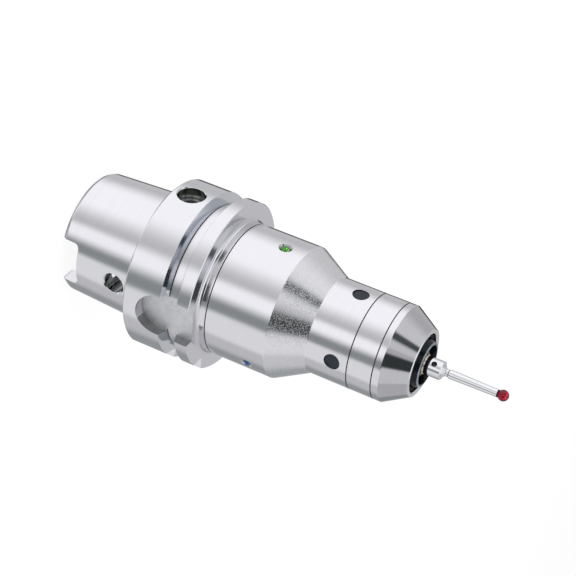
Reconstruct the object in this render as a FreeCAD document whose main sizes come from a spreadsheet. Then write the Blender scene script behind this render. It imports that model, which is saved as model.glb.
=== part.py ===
import FreeCAD, Part

import math
import os
import re
from enum import IntEnum

import Sketcher

# Three-dimensional edge finder on a hollow taper shank, with a ruby ball stylus.
# It stands on the end of its shank: the tool axis is +Z and the stylus points up.
# The two drive slots and the two flange keyways lie in the YZ plane.

V = FreeCAD.Vector

# Every size is in millimetres and every angle in degrees. Heights are measured along
# the axis from the end of the shank, unless the name says from which face.
SIZES = {
    # Hollow taper and its bore
    "shank_length": 32.0,
    "taper_end_radius": 22.72,
    "taper_face_radius": 24.32,
    "taper_end_chamfer": 1.2,
    "face_relief_radius": 23.95,
    "face_relief_width": 1.2,
    "face_relief_rim": 24.6,
    "face_relief_depth": 0.3,
    "clamp_bore_radius": 17.0,
    "clamp_mouth_chamfer": 0.8,
    "clamp_shoulder_height": 8.7,
    "clamp_groove_radius": 18.6,
    "clamp_groove_bottom": 11.5,
    "clamp_groove_top": 19.7,
    "clamp_land_radius": 15.5,
    "clamp_floor_height": 28.0,
    "coolant_bore_radius": 8.5,
    "coolant_bore_length": 17.0,
    "drive_slot_width": 17.4,
    "drive_slot_depth": 7.1,
    "drive_slot_corner": 2.0,
    "clamp_hole_radius": 3.8,
    "clamp_hole_height": 23.1,
    "clamp_hole_rim_radius": 4.3,
    "clamp_hole_rim_depth": 0.5,
    # Flange
    "flange_width": 26.0,
    "flange_radius": 31.5,
    "flange_face_chamfer": 0.6,
    "flange_nose_chamfer": 0.25,
    "groove_centre": 17.83,
    "groove_mouth_width": 6.67,
    "groove_floor_width": 3.75,
    "groove_floor_radius": 27.5,
    "front_key_width": 16.0,
    "back_key_width": 18.0,
    "front_key_floor": 26.6,
    "back_key_floor": 24.9,
    "key_round_end": 5.5,
    "notch_angle": 318.0,
    "notch_tip_radius": 27.6,
    "chip_hole_radius": 5.0,
    "chip_hole_depth": 4.6,
    "chip_hole_centre": 7.1,
    "chip_seat_radius": 3.4,
    "chip_seat_depth": 1.2,
    # Neck and spigot under the main housing
    "neck_length": 3.5,
    "neck_fillet": 1.4,
    "joint_chamfer": 0.3,
    "spigot_radius": 20.0,
    "spigot_length": 12.25,
    "spigot_clearance": 0.05,
    "holder_well_radius": 14.5,
    "holder_well_depth": 19.0,
    "seal_groove_height": 6.0,
    "seal_groove_depth": 1.2,
    "seal_groove_width": 1.6,
    "seal_wire_radius": 0.62,
    # Main housing
    "housing_radius": 24.66,
    "housing_cylinder_length": 23.35,
    "housing_cone_length": 12.5,
    "barrel_radius": 17.76,
    "barrel_length": 15.75,
    "cone_edge_round": 1.0,
    "housing_bore_length": 22.0,
    "housing_core_step": 1.0,
    "barrel_wall": 3.76,
    "sensor_stop_thickness": 1.4,
    "sensor_stop_lip": 0.65,
    "lamp_angle": 180.0,
    "lamp_rim_radius": 2.55,
    "lamp_rim_depth": 1.1,
    "lamp_hole_radius": 1.6,
    "screw_ring_clearance": 0.1,
    "screw_hole_radius": 3.0,
    # Lamps and their board
    "lamp_radius": 1.5,
    "lamp_tip_depth": 0.15,
    "lamp_dome_flat": 0.01,
    "lamp_collar_radius": 1.9,
    "lamp_collar_length": 1.0,
    "lamp_collar_gap": 0.14,
    "lamp_board_clearance": 0.15,
    "board_edge_clearance": 0.25,
    "board_bore_clearance": 0.15,
    "board_thickness": 1.6,
    # Battery pack
    "cell_radius": 6.0,
    "cell_length": 30.0,
    "cell_wall": 0.7,
    "cell_tip_radius": 2.0,
    "cell_tip_length": 0.8,
    "cell_clearance": 0.15,
    "holder_clearance": 0.05,
    "holder_floor": 2.0,
    "contact_thickness": 0.6,
    "contact_width": 5.0,
    "plate_margin": 1.0,
    "cover_thickness": 2.0,
    "lead_pin_radius": 1.2,
    # Ring and nose cap
    "ring_length": 9.25,
    "ring_spigot_length": 2.6,
    "ring_spigot_clearance": 0.05,
    "ring_wall": 4.36,
    "ring_stop_clearance": 0.1,
    "cap_band_length": 2.5,
    "cap_cone_length": 9.05,
    "cap_rim_width": 1.57,
    "cap_front_round": 0.5,
    "cap_lip_width": 1.45,
    "cap_lip_thickness": 4.4,
    "cap_spigot_wall": 1.15,
    "cap_spigot_length": 6.0,
    "cap_spigot_gap": 0.5,
    "cap_spigot_clearance": 0.05,
    "cap_seal_depth": 0.55,
    "cap_seal_width": 0.8,
    "cap_seal_thickness": 0.56,
    # Centring screws
    "screw_clearance": 0.04,
    "screw_socket_width": 3.0,
    "screw_socket_depth": 1.5,
    "plug_recess": 0.31,
    "plug_thickness": 1.0,
    # Sensor insert
    "centring_gap": 0.95,
    "insert_nose_clearance": 0.2,
    "insert_body_length": 14.1,
    "insert_wall": 1.4,
    "insert_lip_width": 1.7,
    "insert_lip_thickness": 2.9,
    "preload_thickness": 2.7,
    "key_hole_offset": 5.2,
    "key_hole_depth": 1.35,
    # Sliding sleeve, gimbal ring and their pins
    "slide_clearance": 0.06,
    "stop_clearance": 0.04,
    "sleeve_wall": 1.34,
    "sleeve_length": 13.06,
    "sleeve_floor_thickness": 1.2,
    "sleeve_floor_ledge": 0.9,
    "pivot_depth": 7.0,
    "gimbal_gap": 0.5,
    "gimbal_width": 2.4,
    "gimbal_height": 4.0,
    "pin_radius": 0.8,
    "pin_clearance": 0.05,
    "pin_inset": 0.5,
    # Springs
    "push_spring_gap": 3.0,
    "push_spring_wire": 0.5,
    "push_spring_turns": 4.0,
    "centring_spring_inset": 1.0,
    "centring_spring_wire": 0.32,
    "centring_spring_turns": 3.5,
    "spring_end_clearance": 0.05,
    # Stylus holder and contacts
    "holder_head_gap": 0.8,
    "holder_head_height": 4.8,
    "holder_pin_depth": 2.75,
    "holder_shaft_radius": 3.0,
    "holder_reach": 1.2,
    "holder_thread_radius": 1.5,
    "holder_thread_depth": 5.0,
    "disc_gap": 1.3,
    "disc_thickness": 1.2,
    "disc_depth": 1.8,
    "fit_clearance": 0.03,
    "leaf_width": 2.2,
    "leaf_thickness": 0.2,
    "leaf_tip_length": 1.8,
    "leaf_slope_width": 1.1,
    "leaf_lip_gap": 0.6,
    "leaf_root_gap": 0.4,
    "leaf_gap": 0.05,
    "contact_ring_width": 3.8,
    "contact_ring_thickness": 1.3,
    "contact_ring_gap": 1.0,
    # Diaphragm and what clamps it
    "clamp_ring_width": 2.3,
    "clamp_ring_thickness": 1.2,
    "rubber_thickness": 0.8,
    "rubber_rim_thickness": 1.8,
    "rubber_valley_gap": 1.35,
    "rubber_valley_depth": 2.3,
    "rubber_ridge_step": 1.7,
    "rubber_ridge_width": 0.8,
    "rubber_ridge_round": 0.26,
    "rubber_ridge_rise": 1.5,
    "rubber_recess_step": 1.0,
    "rubber_recess_depth": 1.1,
    "rubber_seat_radius": 4.4,
    "collar_radius": 4.0,
    "collar_thickness": 0.9,
    # Stylus
    "hub_radius": 3.35,
    "hub_length": 6.0,
    "hub_shoulder_radius": 2.3,
    "hub_shoulder_length": 0.35,
    "hub_shoulder_taper": 0.3,
    "hub_chamfer": 0.25,
    "hub_cross_hole_angle": 210.6,
    "hub_cross_hole_radius": 1.0,
    "hub_cross_hole_height": 3.0,
    "hub_neck_radius": 1.3,
    "hub_neck_length": 1.75,
    "hub_stub_clearance": 0.08,
    "hub_stub_length": 4.5,
    "stem_root_radius": 1.62,
    "stem_tip_radius": 1.36,
    "stem_chamfer": 0.45,
    "stem_length": 18.4,
    "ball_radius": 2.0,
    "ball_seat_rim": 0.27,
    "ball_seat_clearance": 0.02,
}


class Line(IntEnum):
    """The sketch's own two axes, as its constraints number them."""

    H_AXIS = -1
    V_AXIS = -2


class Point(IntEnum):
    """The points of a line or an arc, as a sketch's constraints number them."""

    START = 1
    END = 2
    CENTRE = 3


document = FreeCAD.newDocument("edge_finder")
sheet = document.addObject("Spreadsheet::Sheet", "dims")
nodes = {}


def fill_sheet():
    """Write the driving dimensions into the sheet, one named cell each."""
    for row, (name, size) in enumerate(SIZES.items(), start=1):
        sheet.set("A%d" % row, name)
        sheet.set("B%d" % row, str(size))
        sheet.setAlias("B%d" % row, name)
    document.recompute()


def bound(expression):
    """Point each size name in an expression at its cell of the sheet."""
    def cell(word):
        text = word.group()
        return "dims." + text if text in SIZES else text
    return re.sub(r"[a-z_]+", cell, expression)


def value(expression):
    """Work out an expression of size names as a plain number."""
    return float(sheet.evalExpression(bound(expression)))


def new_body(name):
    """Start the sub-part that this name labels."""
    body = document.addObject("PartDesign::Body", name)
    body.Label = name
    nodes[name] = body
    return body


def origin_plane(body, role):
    """Find one of the body's own origin planes."""
    for feature in body.Origin.OriginFeatures:
        if feature.Role == role:
            return feature
    raise ValueError("no origin plane " + role)


def plane_sketch(body, name, role, height="0"):
    """Start a sketch on an origin plane, lifted along the plane's normal."""
    sketch = body.newObject("Sketcher::SketchObject", name)
    sketch.AttachmentSupport = (origin_plane(body, role), [""])
    sketch.MapMode = "FlatFace"
    if height != "0":
        sketch.setExpression("AttachmentOffset.Base.z", bound(height))
    return sketch


def radial_sketch(body, name, angle, distance, height):
    """Start a sketch that faces straight out from the axis.

    Its origin is at the given distance from the axis and height, its own x axis goes
    round the object and its own y axis goes up.
    """
    sketch = plane_sketch(body, name, "XZ_Plane")
    sketch.AttachmentOffset = FreeCAD.Placement(V(0, 0, 0), FreeCAD.Rotation(V(0, 1, 0), 1))
    sketch.setExpression("AttachmentOffset.Base.x", bound("(%s) * cos(%s)" % (distance, angle)))
    sketch.setExpression("AttachmentOffset.Base.y", bound(height))
    sketch.setExpression("AttachmentOffset.Base.z", bound("-(%s) * sin(%s)" % (distance, angle)))
    sketch.setExpression("AttachmentOffset.Rotation.Angle", bound("%s + 90" % angle))
    return sketch


def add_constraints(sketch, rows):
    """Add constraints to a sketch; each row is one, with the expression it follows."""
    first = sketch.ConstraintCount
    sketch.addConstraint([constraint for constraint, _ in rows])
    for index, (_, expression) in enumerate(rows, start=first):
        if expression:
            sketch.setExpression("Constraints[%d]" % index, bound(expression))


def pin_point(geometry, position, across, up):
    """Fix a point at its two coordinates, or on the sketch's axis where one is zero."""
    rows = []
    for kind, axis, text in (("DistanceX", Line.V_AXIS, across), ("DistanceY", Line.H_AXIS, up)):
        if text == "0":
            rows.append((Sketcher.Constraint("PointOnObject", geometry, position, axis), None))
        else:
            distance = Sketcher.Constraint(kind, -1, Point.START, geometry, position, value(text))
            rows.append((distance, text))
    return rows


def outline(sketch, corners):
    """Draw a closed outline; a corner is (across, up) or (across, up, rounding radius)."""
    points = [V(value(corner[0]), value(corner[1]), 0) for corner in corners]
    count = len(points)
    cuts = [corner_cut(points, corners, index) for index in range(count)]
    for index in range(count):
        following = (index + 1) % count
        along = (points[following] - points[index]).normalize()
        start = points[index] + along * cuts[index]
        end = points[following] - along * cuts[following]
        sketch.addGeometry(Part.LineSegment(start, end))
    for index, corner in enumerate(corners):
        previous = (index - 1) % count
        if len(corner) == 2:
            meet = Sketcher.Constraint("Coincident", previous, Point.END, index, Point.START)
            add_constraints(sketch, [(meet, None)] + pin_point(index, Point.START, *corner))
        else:
            round_corner(sketch, points, index, cuts[index], corner)


def corner_cut(points, corners, index):
    """Say how far a rounded corner eats into the lines on each side of it."""
    if len(corners[index]) == 2:
        return 0.0
    before = points[index] - points[index - 1]
    after = points[(index + 1) % len(points)] - points[index]
    return value(corners[index][2]) * math.tan(before.getAngle(after) / 2)


def round_corner(sketch, points, index, cut, corner):
    """Put a tangent arc on a corner, which stays where its two coordinates say."""
    previous = (index - 1) % len(points)
    before = (points[index] - points[previous]).normalize()
    after = (points[(index + 1) % len(points)] - points[index]).normalize()
    start = points[index] - before * cut
    end = points[index] + after * cut
    radius = value(corner[2])
    inward = (after - before).normalize()
    centre = points[index] + inward * math.hypot(radius, cut)
    middle = centre - inward * radius
    arc = sketch.addGeometry(Part.Arc(start, middle, end))
    tip = sketch.addGeometry(Part.Point(points[index]), True)
    left_turn = before.cross(after).z > 0
    near, far = (Point.START, Point.END) if left_turn else (Point.END, Point.START)
    rows = [
        (Sketcher.Constraint("Tangent", previous, Point.END, arc, near), None),
        (Sketcher.Constraint("Tangent", arc, far, index, Point.START), None),
        (Sketcher.Constraint("Radius", arc, radius), corner[2]),
        (Sketcher.Constraint("PointOnObject", tip, Point.START, previous), None),
        (Sketcher.Constraint("PointOnObject", tip, Point.START, index), None),
    ]
    add_constraints(sketch, rows + pin_point(tip, Point.START, corner[0], corner[1]))


def circle(sketch, radius, across="0", up="0"):
    """Draw a circle at a place in the sketch."""
    centre = V(value(across), value(up), 0)
    index = sketch.addGeometry(Part.Circle(centre, V(0, 0, 1), value(radius)))
    rows = [(Sketcher.Constraint("Radius", index, value(radius)), radius)]
    if across == "0" and up == "0":
        rows.append((Sketcher.Constraint("Coincident", index, Point.CENTRE, -1, Point.START), None))
    else:
        rows += pin_point(index, Point.CENTRE, across, up)
    add_constraints(sketch, rows)


def turn(body, corners):
    """Turn a half section, given as radius and height, round the body's axis."""
    sketch = plane_sketch(body, body.Name + "_section", "XZ_Plane")
    outline(sketch, corners)
    feature = body.newObject("PartDesign::Revolution", body.Name + "_turned")
    feature.Profile = sketch
    feature.ReferenceAxis = (sketch, ["V_Axis"])
    feature.Angle = 360
    return feature


def turned(name, corners):
    """Make a sub-part that is turned in one piece."""
    body = new_body(name)
    turn(body, corners)
    return body


def tube(name, outer, inner, bottom, top):
    """Make a plain ring between two heights."""
    corners = [(inner, bottom), (outer, bottom), (outer, top), (inner, top)]
    return turned(name, corners)


def pad(body, name, sketch, length):
    """Raise a sketch into a solid along its normal."""
    feature = body.newObject("PartDesign::Pad", name)
    feature.Profile = sketch
    feature.setExpression("Length", bound(length))
    return feature


def pocket(body, name, sketch, depth, outward=False):
    """Cut a sketch into the solid, against its normal unless it says outward."""
    feature = body.newObject("PartDesign::Pocket", name)
    feature.Profile = sketch
    feature.setExpression("Length", bound(depth))
    feature.Reversed = outward
    return feature


def pattern(body, name, features, count):
    """Repeat features evenly round the axis."""
    for feature in body.Origin.OriginFeatures:
        if feature.Role == "Z_Axis":
            axis = feature
    repeat = body.newObject("PartDesign::PolarPattern", name)
    repeat.Originals = features
    repeat.Axis = (axis, [""])
    repeat.Angle = 360
    repeat.Occurrences = count
    body.Tip = repeat
    return repeat


def radial_hole(body, name, angle, distance, height, radius, depth):
    """Drill a round hole towards the axis."""
    sketch = radial_sketch(body, name + "_circle", angle, distance, height)
    circle(sketch, radius)
    return pocket(body, name, sketch, depth)


# Heights that several pieces share, as expressions of the sizes.
FLANGE_TOP = "shank_length + flange_width"
GROOVE_HEIGHT = "shank_length + groove_centre"
COOLANT_TOP = "clamp_floor_height + coolant_bore_length"
NECK_TOP = FLANGE_TOP + " + neck_length"
SEAL_HEIGHT = NECK_TOP + " + seal_groove_height"
SPIGOT_TOP = NECK_TOP + " + spigot_length"
WELL_FLOOR = SPIGOT_TOP + " - holder_well_depth"
BOARD_TOP = SPIGOT_TOP + " + board_thickness"
LAMP_HEIGHT = BOARD_TOP + " + lamp_board_clearance + lamp_collar_radius"
CONE_BOTTOM = NECK_TOP + " + housing_cylinder_length"
CONE_TOP = CONE_BOTTOM + " + housing_cone_length"
RING_BOTTOM = CONE_TOP + " + barrel_length"
CAP_BOTTOM = RING_BOTTOM + " + ring_length"
CAP_SEAL_HEIGHT = CAP_BOTTOM + " - cap_spigot_length / 2"
CAP_CONE_BOTTOM = CAP_BOTTOM + " + cap_band_length"
CAP_TOP = CAP_CONE_BOTTOM + " + cap_cone_length"
RIM_TOP = CAP_TOP + " - cap_lip_thickness"
RIM_BOTTOM = RIM_TOP + " - rubber_rim_thickness"
CLAMP_BOTTOM = RIM_BOTTOM + " - clamp_ring_thickness"
LEAF_TOP = CLAMP_BOTTOM + " - contact_ring_gap - contact_ring_thickness"
INSERT_FRONT = LEAF_TOP + " - leaf_thickness"
INSERT_STEP = RING_BOTTOM + " - ring_spigot_length"
INSERT_BOTTOM = INSERT_STEP + " - insert_body_length"
CORE_START = INSERT_BOTTOM + " - sensor_stop_thickness"
SCREW_HEIGHT = INSERT_STEP + " - screw_ring_clearance - screw_hole_radius"
PRELOAD_TOP = INSERT_BOTTOM + " + preload_thickness"
SLEEVE_TOP = INSERT_FRONT + " - insert_lip_thickness - stop_clearance"
SLEEVE_BOTTOM = SLEEVE_TOP + " - sleeve_length"
SLEEVE_FLOOR = SLEEVE_BOTTOM + " + sleeve_floor_thickness"
PIVOT_HEIGHT = INSERT_FRONT + " - pivot_depth"
HEAD_BOTTOM = PIVOT_HEIGHT + " - holder_head_height / 2"
HEAD_TOP = PIVOT_HEIGHT + " + holder_head_height / 2"
DISC_BOTTOM = INSERT_FRONT + " - disc_depth"
DISC_TOP = DISC_BOTTOM + " + disc_thickness"
HOLDER_TOP = CAP_TOP + " + holder_reach"
HUB_TOP = HOLDER_TOP + " + hub_length"
HUB_NECK_BOTTOM = HUB_TOP + " + hub_shoulder_length"
STEM_BOTTOM = HUB_NECK_BOTTOM + " + hub_neck_length"
STEM_TOP = STEM_BOTTOM + " + stem_length"
BALL_SEAT_RISE = ("sqrt((ball_radius + ball_seat_clearance)^2"
                  " - (stem_tip_radius - ball_seat_rim)^2)")
BALL_HEIGHT = STEM_TOP + " + " + BALL_SEAT_RISE

# Radii that fit round one another, from the barrel inwards.
HOUSING_BORE = "spigot_radius + spigot_clearance"
HOLDER_RADIUS = "holder_well_radius - holder_clearance"
CELL_OFFSET = "(cell_radius + cell_clearance + cell_wall / 2)"
CORE_RADIUS = "barrel_radius - barrel_wall"
INSERT_RADIUS = CORE_RADIUS + " - centring_gap"
RING_BORE = "barrel_radius - ring_wall"
CAP_SPIGOT = RING_BORE + " - cap_spigot_clearance"
CAP_BORE = CAP_SPIGOT + " - cap_spigot_wall"
CAP_MOUTH = CAP_BORE + " - cap_lip_width"
CAP_FRONT = CAP_MOUTH + " + cap_rim_width"
INSERT_NOSE = CAP_BORE + " - insert_nose_clearance"
RING_STOP = INSERT_NOSE + " + ring_stop_clearance"
INSERT_BORE = INSERT_NOSE + " - insert_wall"
INSERT_LIP = INSERT_BORE + " - insert_lip_width"
SLEEVE_RADIUS = INSERT_BORE + " - slide_clearance"
SLEEVE_BORE = SLEEVE_RADIUS + " - sleeve_wall"
GIMBAL_OUTER = SLEEVE_BORE + " - gimbal_gap"
GIMBAL_INNER = GIMBAL_OUTER + " - gimbal_width"
HEAD_RADIUS = GIMBAL_INNER + " - holder_head_gap"
PUSH_SPRING_RADIUS = INSERT_BORE + " - push_spring_gap"
CENTRING_SPRING_RADIUS = HEAD_RADIUS + " - centring_spring_inset"
SLEEVE_FLOOR_BORE = CENTRING_SPRING_RADIUS + " - sleeve_floor_ledge"
CLAMP_RING_BORE = CAP_BORE + " - clamp_ring_width"
VALLEY_RADIUS = CAP_MOUTH + " - rubber_valley_gap"
RIDGE_RADIUS = VALLEY_RADIUS + " - rubber_ridge_step"
RECESS_RADIUS = RIDGE_RADIUS + " - rubber_recess_step"


def taper_radius(height):
    """Give the taper's radius at a height, as an expression."""
    slope = "(taper_face_radius - taper_end_radius) / shank_length"
    return "taper_end_radius + %s * (%s)" % (slope, height)


def shank_section():
    """List the half section of the shank, flange, neck and spigot."""
    relief_height = "shank_length - face_relief_width"
    seal_bottom = SEAL_HEIGHT + " - seal_groove_width / 2"
    seal_top = SEAL_HEIGHT + " + seal_groove_width / 2"
    outside = [
        ("taper_end_radius - taper_end_chamfer / 2", "0"),
        (taper_radius("taper_end_chamfer"), "taper_end_chamfer"),
        (taper_radius(relief_height), relief_height),
        ("face_relief_radius", relief_height),
        ("face_relief_radius", "shank_length + face_relief_depth"),
        ("face_relief_rim", "shank_length + face_relief_depth"),
        ("face_relief_rim", "shank_length"),
        ("flange_radius - flange_face_chamfer", "shank_length"),
        ("flange_radius", "shank_length + flange_face_chamfer"),
        ("flange_radius", GROOVE_HEIGHT + " - groove_mouth_width / 2"),
        ("groove_floor_radius", GROOVE_HEIGHT + " - groove_floor_width / 2"),
        ("groove_floor_radius", GROOVE_HEIGHT + " + groove_floor_width / 2"),
        ("flange_radius", GROOVE_HEIGHT + " + groove_mouth_width / 2"),
        ("flange_radius", FLANGE_TOP + " - flange_nose_chamfer"),
        ("flange_radius - flange_nose_chamfer", FLANGE_TOP),
        ("housing_radius", FLANGE_TOP, "neck_fillet"),
        ("housing_radius", NECK_TOP + " - joint_chamfer"),
        ("housing_radius - joint_chamfer", NECK_TOP),
        ("spigot_radius", NECK_TOP),
        ("spigot_radius", seal_bottom),
        ("spigot_radius - seal_groove_depth", seal_bottom),
        ("spigot_radius - seal_groove_depth", seal_top),
        ("spigot_radius", seal_top),
        ("spigot_radius", SPIGOT_TOP),
    ]
    inside = [
        ("holder_well_radius", SPIGOT_TOP),
        ("holder_well_radius", WELL_FLOOR),
        ("0", WELL_FLOOR),
        ("0", COOLANT_TOP),
        ("coolant_bore_radius", COOLANT_TOP),
        ("coolant_bore_radius", "clamp_floor_height"),
        ("clamp_land_radius", "clamp_floor_height"),
        ("clamp_land_radius", "clamp_groove_top + clamp_groove_radius - clamp_land_radius"),
        ("clamp_groove_radius", "clamp_groove_top"),
        ("clamp_groove_radius", "clamp_groove_bottom"),
        ("clamp_bore_radius", "clamp_shoulder_height"),
        ("clamp_bore_radius", "clamp_mouth_chamfer"),
        ("clamp_bore_radius + clamp_mouth_chamfer", "0"),
    ]
    return outside + inside


def keyway(body, name, angle, width, floor):
    """Mill a keyway with a round end into the flange, open towards the nose."""
    centre = "shank_length + key_round_end + %s / 2" % width
    sketch = radial_sketch(body, name + "_outline", angle, floor, centre)
    half = width + " / 2"
    reach = "%s - (%s)" % (NECK_TOP, centre)
    radius = value(half)
    top = value(reach)
    arc = Part.ArcOfCircle(Part.Circle(V(0, 0, 0), V(0, 0, 1), radius), math.pi, 2 * math.pi)
    end = sketch.addGeometry(arc)
    right = sketch.addGeometry(Part.LineSegment(V(radius, 0, 0), V(radius, top, 0)))
    across = sketch.addGeometry(Part.LineSegment(V(radius, top, 0), V(-radius, top, 0)))
    left = sketch.addGeometry(Part.LineSegment(V(-radius, top, 0), V(-radius, 0, 0)))
    add_constraints(sketch, [
        (Sketcher.Constraint("Coincident", end, Point.CENTRE, -1, Point.START), None),
        (Sketcher.Constraint("Radius", end, radius), half),
        (Sketcher.Constraint("Tangent", end, Point.END, right, Point.START), None),
        (Sketcher.Constraint("Tangent", left, Point.END, end, Point.START), None),
        (Sketcher.Constraint("Coincident", right, Point.END, across, Point.START), None),
        (Sketcher.Constraint("Coincident", across, Point.END, left, Point.START), None),
        (Sketcher.Constraint("Vertical", right), None),
        (Sketcher.Constraint("Vertical", left), None),
        (Sketcher.Constraint("Horizontal", across), None),
        (Sketcher.Constraint("DistanceY", -1, Point.START, across, Point.START, top), reach),
    ])
    pocket(body, name, sketch, "flange_radius", outward=True)


def make_shank():
    """Turn the shank and flange, then mill the slots, keyways, notch and holes."""
    body = turned("shank_body", shank_section())

    slot = plane_sketch(body, "drive_slot_outline", "XZ_Plane")
    outline(slot, [
        ("-drive_slot_width / 2", "0"),
        ("drive_slot_width / 2", "0"),
        ("drive_slot_width / 2", "drive_slot_depth", "drive_slot_corner"),
        ("-drive_slot_width / 2", "drive_slot_depth", "drive_slot_corner"),
    ])
    slots = pocket(body, "drive_slots", slot, "2 * flange_radius")
    slots.Midplane = True

    keyway(body, "front_keyway", "270", "front_key_width", "front_key_floor")
    keyway(body, "back_keyway", "90", "back_key_width", "back_key_floor")

    notch = plane_sketch(body, "notch_outline", "XY_Plane", FLANGE_TOP)
    notch.AttachmentOffset = FreeCAD.Placement(V(0, 0, 0), FreeCAD.Rotation(V(0, 0, 1), 1))
    notch.setExpression("AttachmentOffset.Base.z", bound(FLANGE_TOP))
    notch.setExpression("AttachmentOffset.Rotation.Angle", bound("notch_angle"))
    half = "flange_radius - notch_tip_radius"
    outline(notch, [
        ("notch_tip_radius", "0"),
        ("flange_radius", half),
        ("flange_radius", "-(%s)" % half),
    ])
    pocket(body, "orientation_notch", notch, "flange_width")

    chip_height = "shank_length + chip_hole_centre"
    floor = "flange_radius - chip_hole_depth"
    radial_hole(body, "chip_hole", "180", "flange_radius", chip_height,
                "chip_hole_radius", "chip_hole_depth")
    radial_hole(body, "chip_seat", "180", floor, chip_height,
                "chip_seat_radius", "chip_seat_depth")

    surface = taper_radius("clamp_hole_height")
    radial_hole(body, "clamp_hole_rim", "270", "flange_radius", "clamp_hole_height",
                "clamp_hole_rim_radius", "flange_radius - (%s) + clamp_hole_rim_depth" % surface)
    radial_hole(body, "clamp_hole", "270", "flange_radius", "clamp_hole_height",
                "clamp_hole_radius", "flange_radius - clamp_bore_radius / 2")


def housing_section():
    """List the half section of the main housing."""
    return [
        (HOUSING_BORE, NECK_TOP),
        ("housing_radius - joint_chamfer", NECK_TOP),
        ("housing_radius", NECK_TOP + " + joint_chamfer"),
        ("housing_radius", CONE_BOTTOM, "cone_edge_round"),
        ("barrel_radius", CONE_TOP, "cone_edge_round"),
        ("barrel_radius", RING_BOTTOM + " - joint_chamfer"),
        ("barrel_radius - joint_chamfer", RING_BOTTOM),
        (CORE_RADIUS, RING_BOTTOM),
        (CORE_RADIUS, INSERT_BOTTOM),
        (INSERT_RADIUS + " - sensor_stop_lip", INSERT_BOTTOM),
        (INSERT_RADIUS + " - sensor_stop_lip", CORE_START),
        (CORE_RADIUS + " + housing_core_step", CORE_START),
        (HOUSING_BORE, NECK_TOP + " + housing_bore_length"),
    ]


def lamp_seat(body):
    """Cut the countersunk hole that one lamp shows through."""
    rim = radial_sketch(body, "lamp_rim_circle", "lamp_angle", "housing_radius", LAMP_HEIGHT)
    circle(rim, "lamp_rim_radius")
    sink = pocket(body, "lamp_rim", rim, "lamp_rim_depth")
    sink.setExpression("TaperAngle", bound(
        "-atan((lamp_rim_radius - lamp_hole_radius) / lamp_rim_depth)"))
    hole = radial_hole(body, "lamp_hole", "lamp_angle", "housing_radius", LAMP_HEIGHT,
                       "lamp_hole_radius", "housing_radius - spigot_radius + lamp_hole_radius")
    return [sink, hole]


def make_housing():
    """Turn the main housing and drill its lamp and screw holes."""
    body = turned("main_housing", housing_section())
    pattern(body, "lamp_seats", lamp_seat(body), 3)
    hole = radial_hole(body, "screw_hole", "270", "barrel_radius", SCREW_HEIGHT,
                       "screw_hole_radius", "barrel_wall + screw_hole_radius")
    pattern(body, "screw_holes", [hole], 4)


def make_ring_and_cap():
    """Turn the ring behind the nose and the nose cap."""
    spigot = CORE_RADIUS + " - ring_spigot_clearance"
    counterbore = CAP_BOTTOM + " - cap_spigot_length - cap_spigot_gap"
    turned("front_ring", [
        (RING_STOP, INSERT_STEP),
        (spigot, INSERT_STEP),
        (spigot, RING_BOTTOM),
        ("barrel_radius - joint_chamfer", RING_BOTTOM),
        ("barrel_radius", RING_BOTTOM + " + joint_chamfer"),
        ("barrel_radius", CAP_BOTTOM + " - joint_chamfer"),
        ("barrel_radius - joint_chamfer", CAP_BOTTOM),
        (RING_BORE, CAP_BOTTOM),
        (RING_BORE, counterbore),
        (RING_STOP, counterbore),
    ])
    seal_bottom = CAP_SEAL_HEIGHT + " - cap_seal_width / 2"
    seal_top = CAP_SEAL_HEIGHT + " + cap_seal_width / 2"
    seal_depth = CAP_SPIGOT + " - cap_seal_depth"
    turned("nose_cap", [
        (CAP_BORE, CAP_BOTTOM + " - cap_spigot_length"),
        (CAP_SPIGOT, CAP_BOTTOM + " - cap_spigot_length"),
        (CAP_SPIGOT, seal_bottom),
        (seal_depth, seal_bottom),
        (seal_depth, seal_top),
        (CAP_SPIGOT, seal_top),
        (CAP_SPIGOT, CAP_BOTTOM),
        ("barrel_radius - joint_chamfer", CAP_BOTTOM),
        ("barrel_radius", CAP_BOTTOM + " + joint_chamfer"),
        ("barrel_radius", CAP_CONE_BOTTOM),
        (CAP_FRONT, CAP_TOP, "cap_front_round"),
        (CAP_MOUTH, CAP_TOP, "cap_front_round"),
        (CAP_MOUTH, RIM_TOP),
        (CAP_BORE, RIM_TOP),
    ])


def make_seal(name, height, floor_radius, wire_radius):
    """Make a seal ring that lies on the floor of its groove."""
    body = new_body(name)
    sketch = plane_sketch(body, name + "_section", "XZ_Plane")
    circle(sketch, wire_radius, "%s + %s" % (floor_radius, wire_radius), height)
    feature = body.newObject("PartDesign::Revolution", name + "_turned")
    feature.Profile = sketch
    feature.ReferenceAxis = (sketch, ["V_Axis"])
    feature.Angle = 360


def make_cap_seal():
    """Make the flat seal ring in the groove of the nose cap's spigot."""
    half = "cap_seal_thickness / 2"
    tube("cap_seal", RING_BORE + " - fit_clearance", CAP_SPIGOT + " - cap_seal_depth",
         "%s - %s" % (CAP_SEAL_HEIGHT, half), "%s + %s" % (CAP_SEAL_HEIGHT, half))


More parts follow.
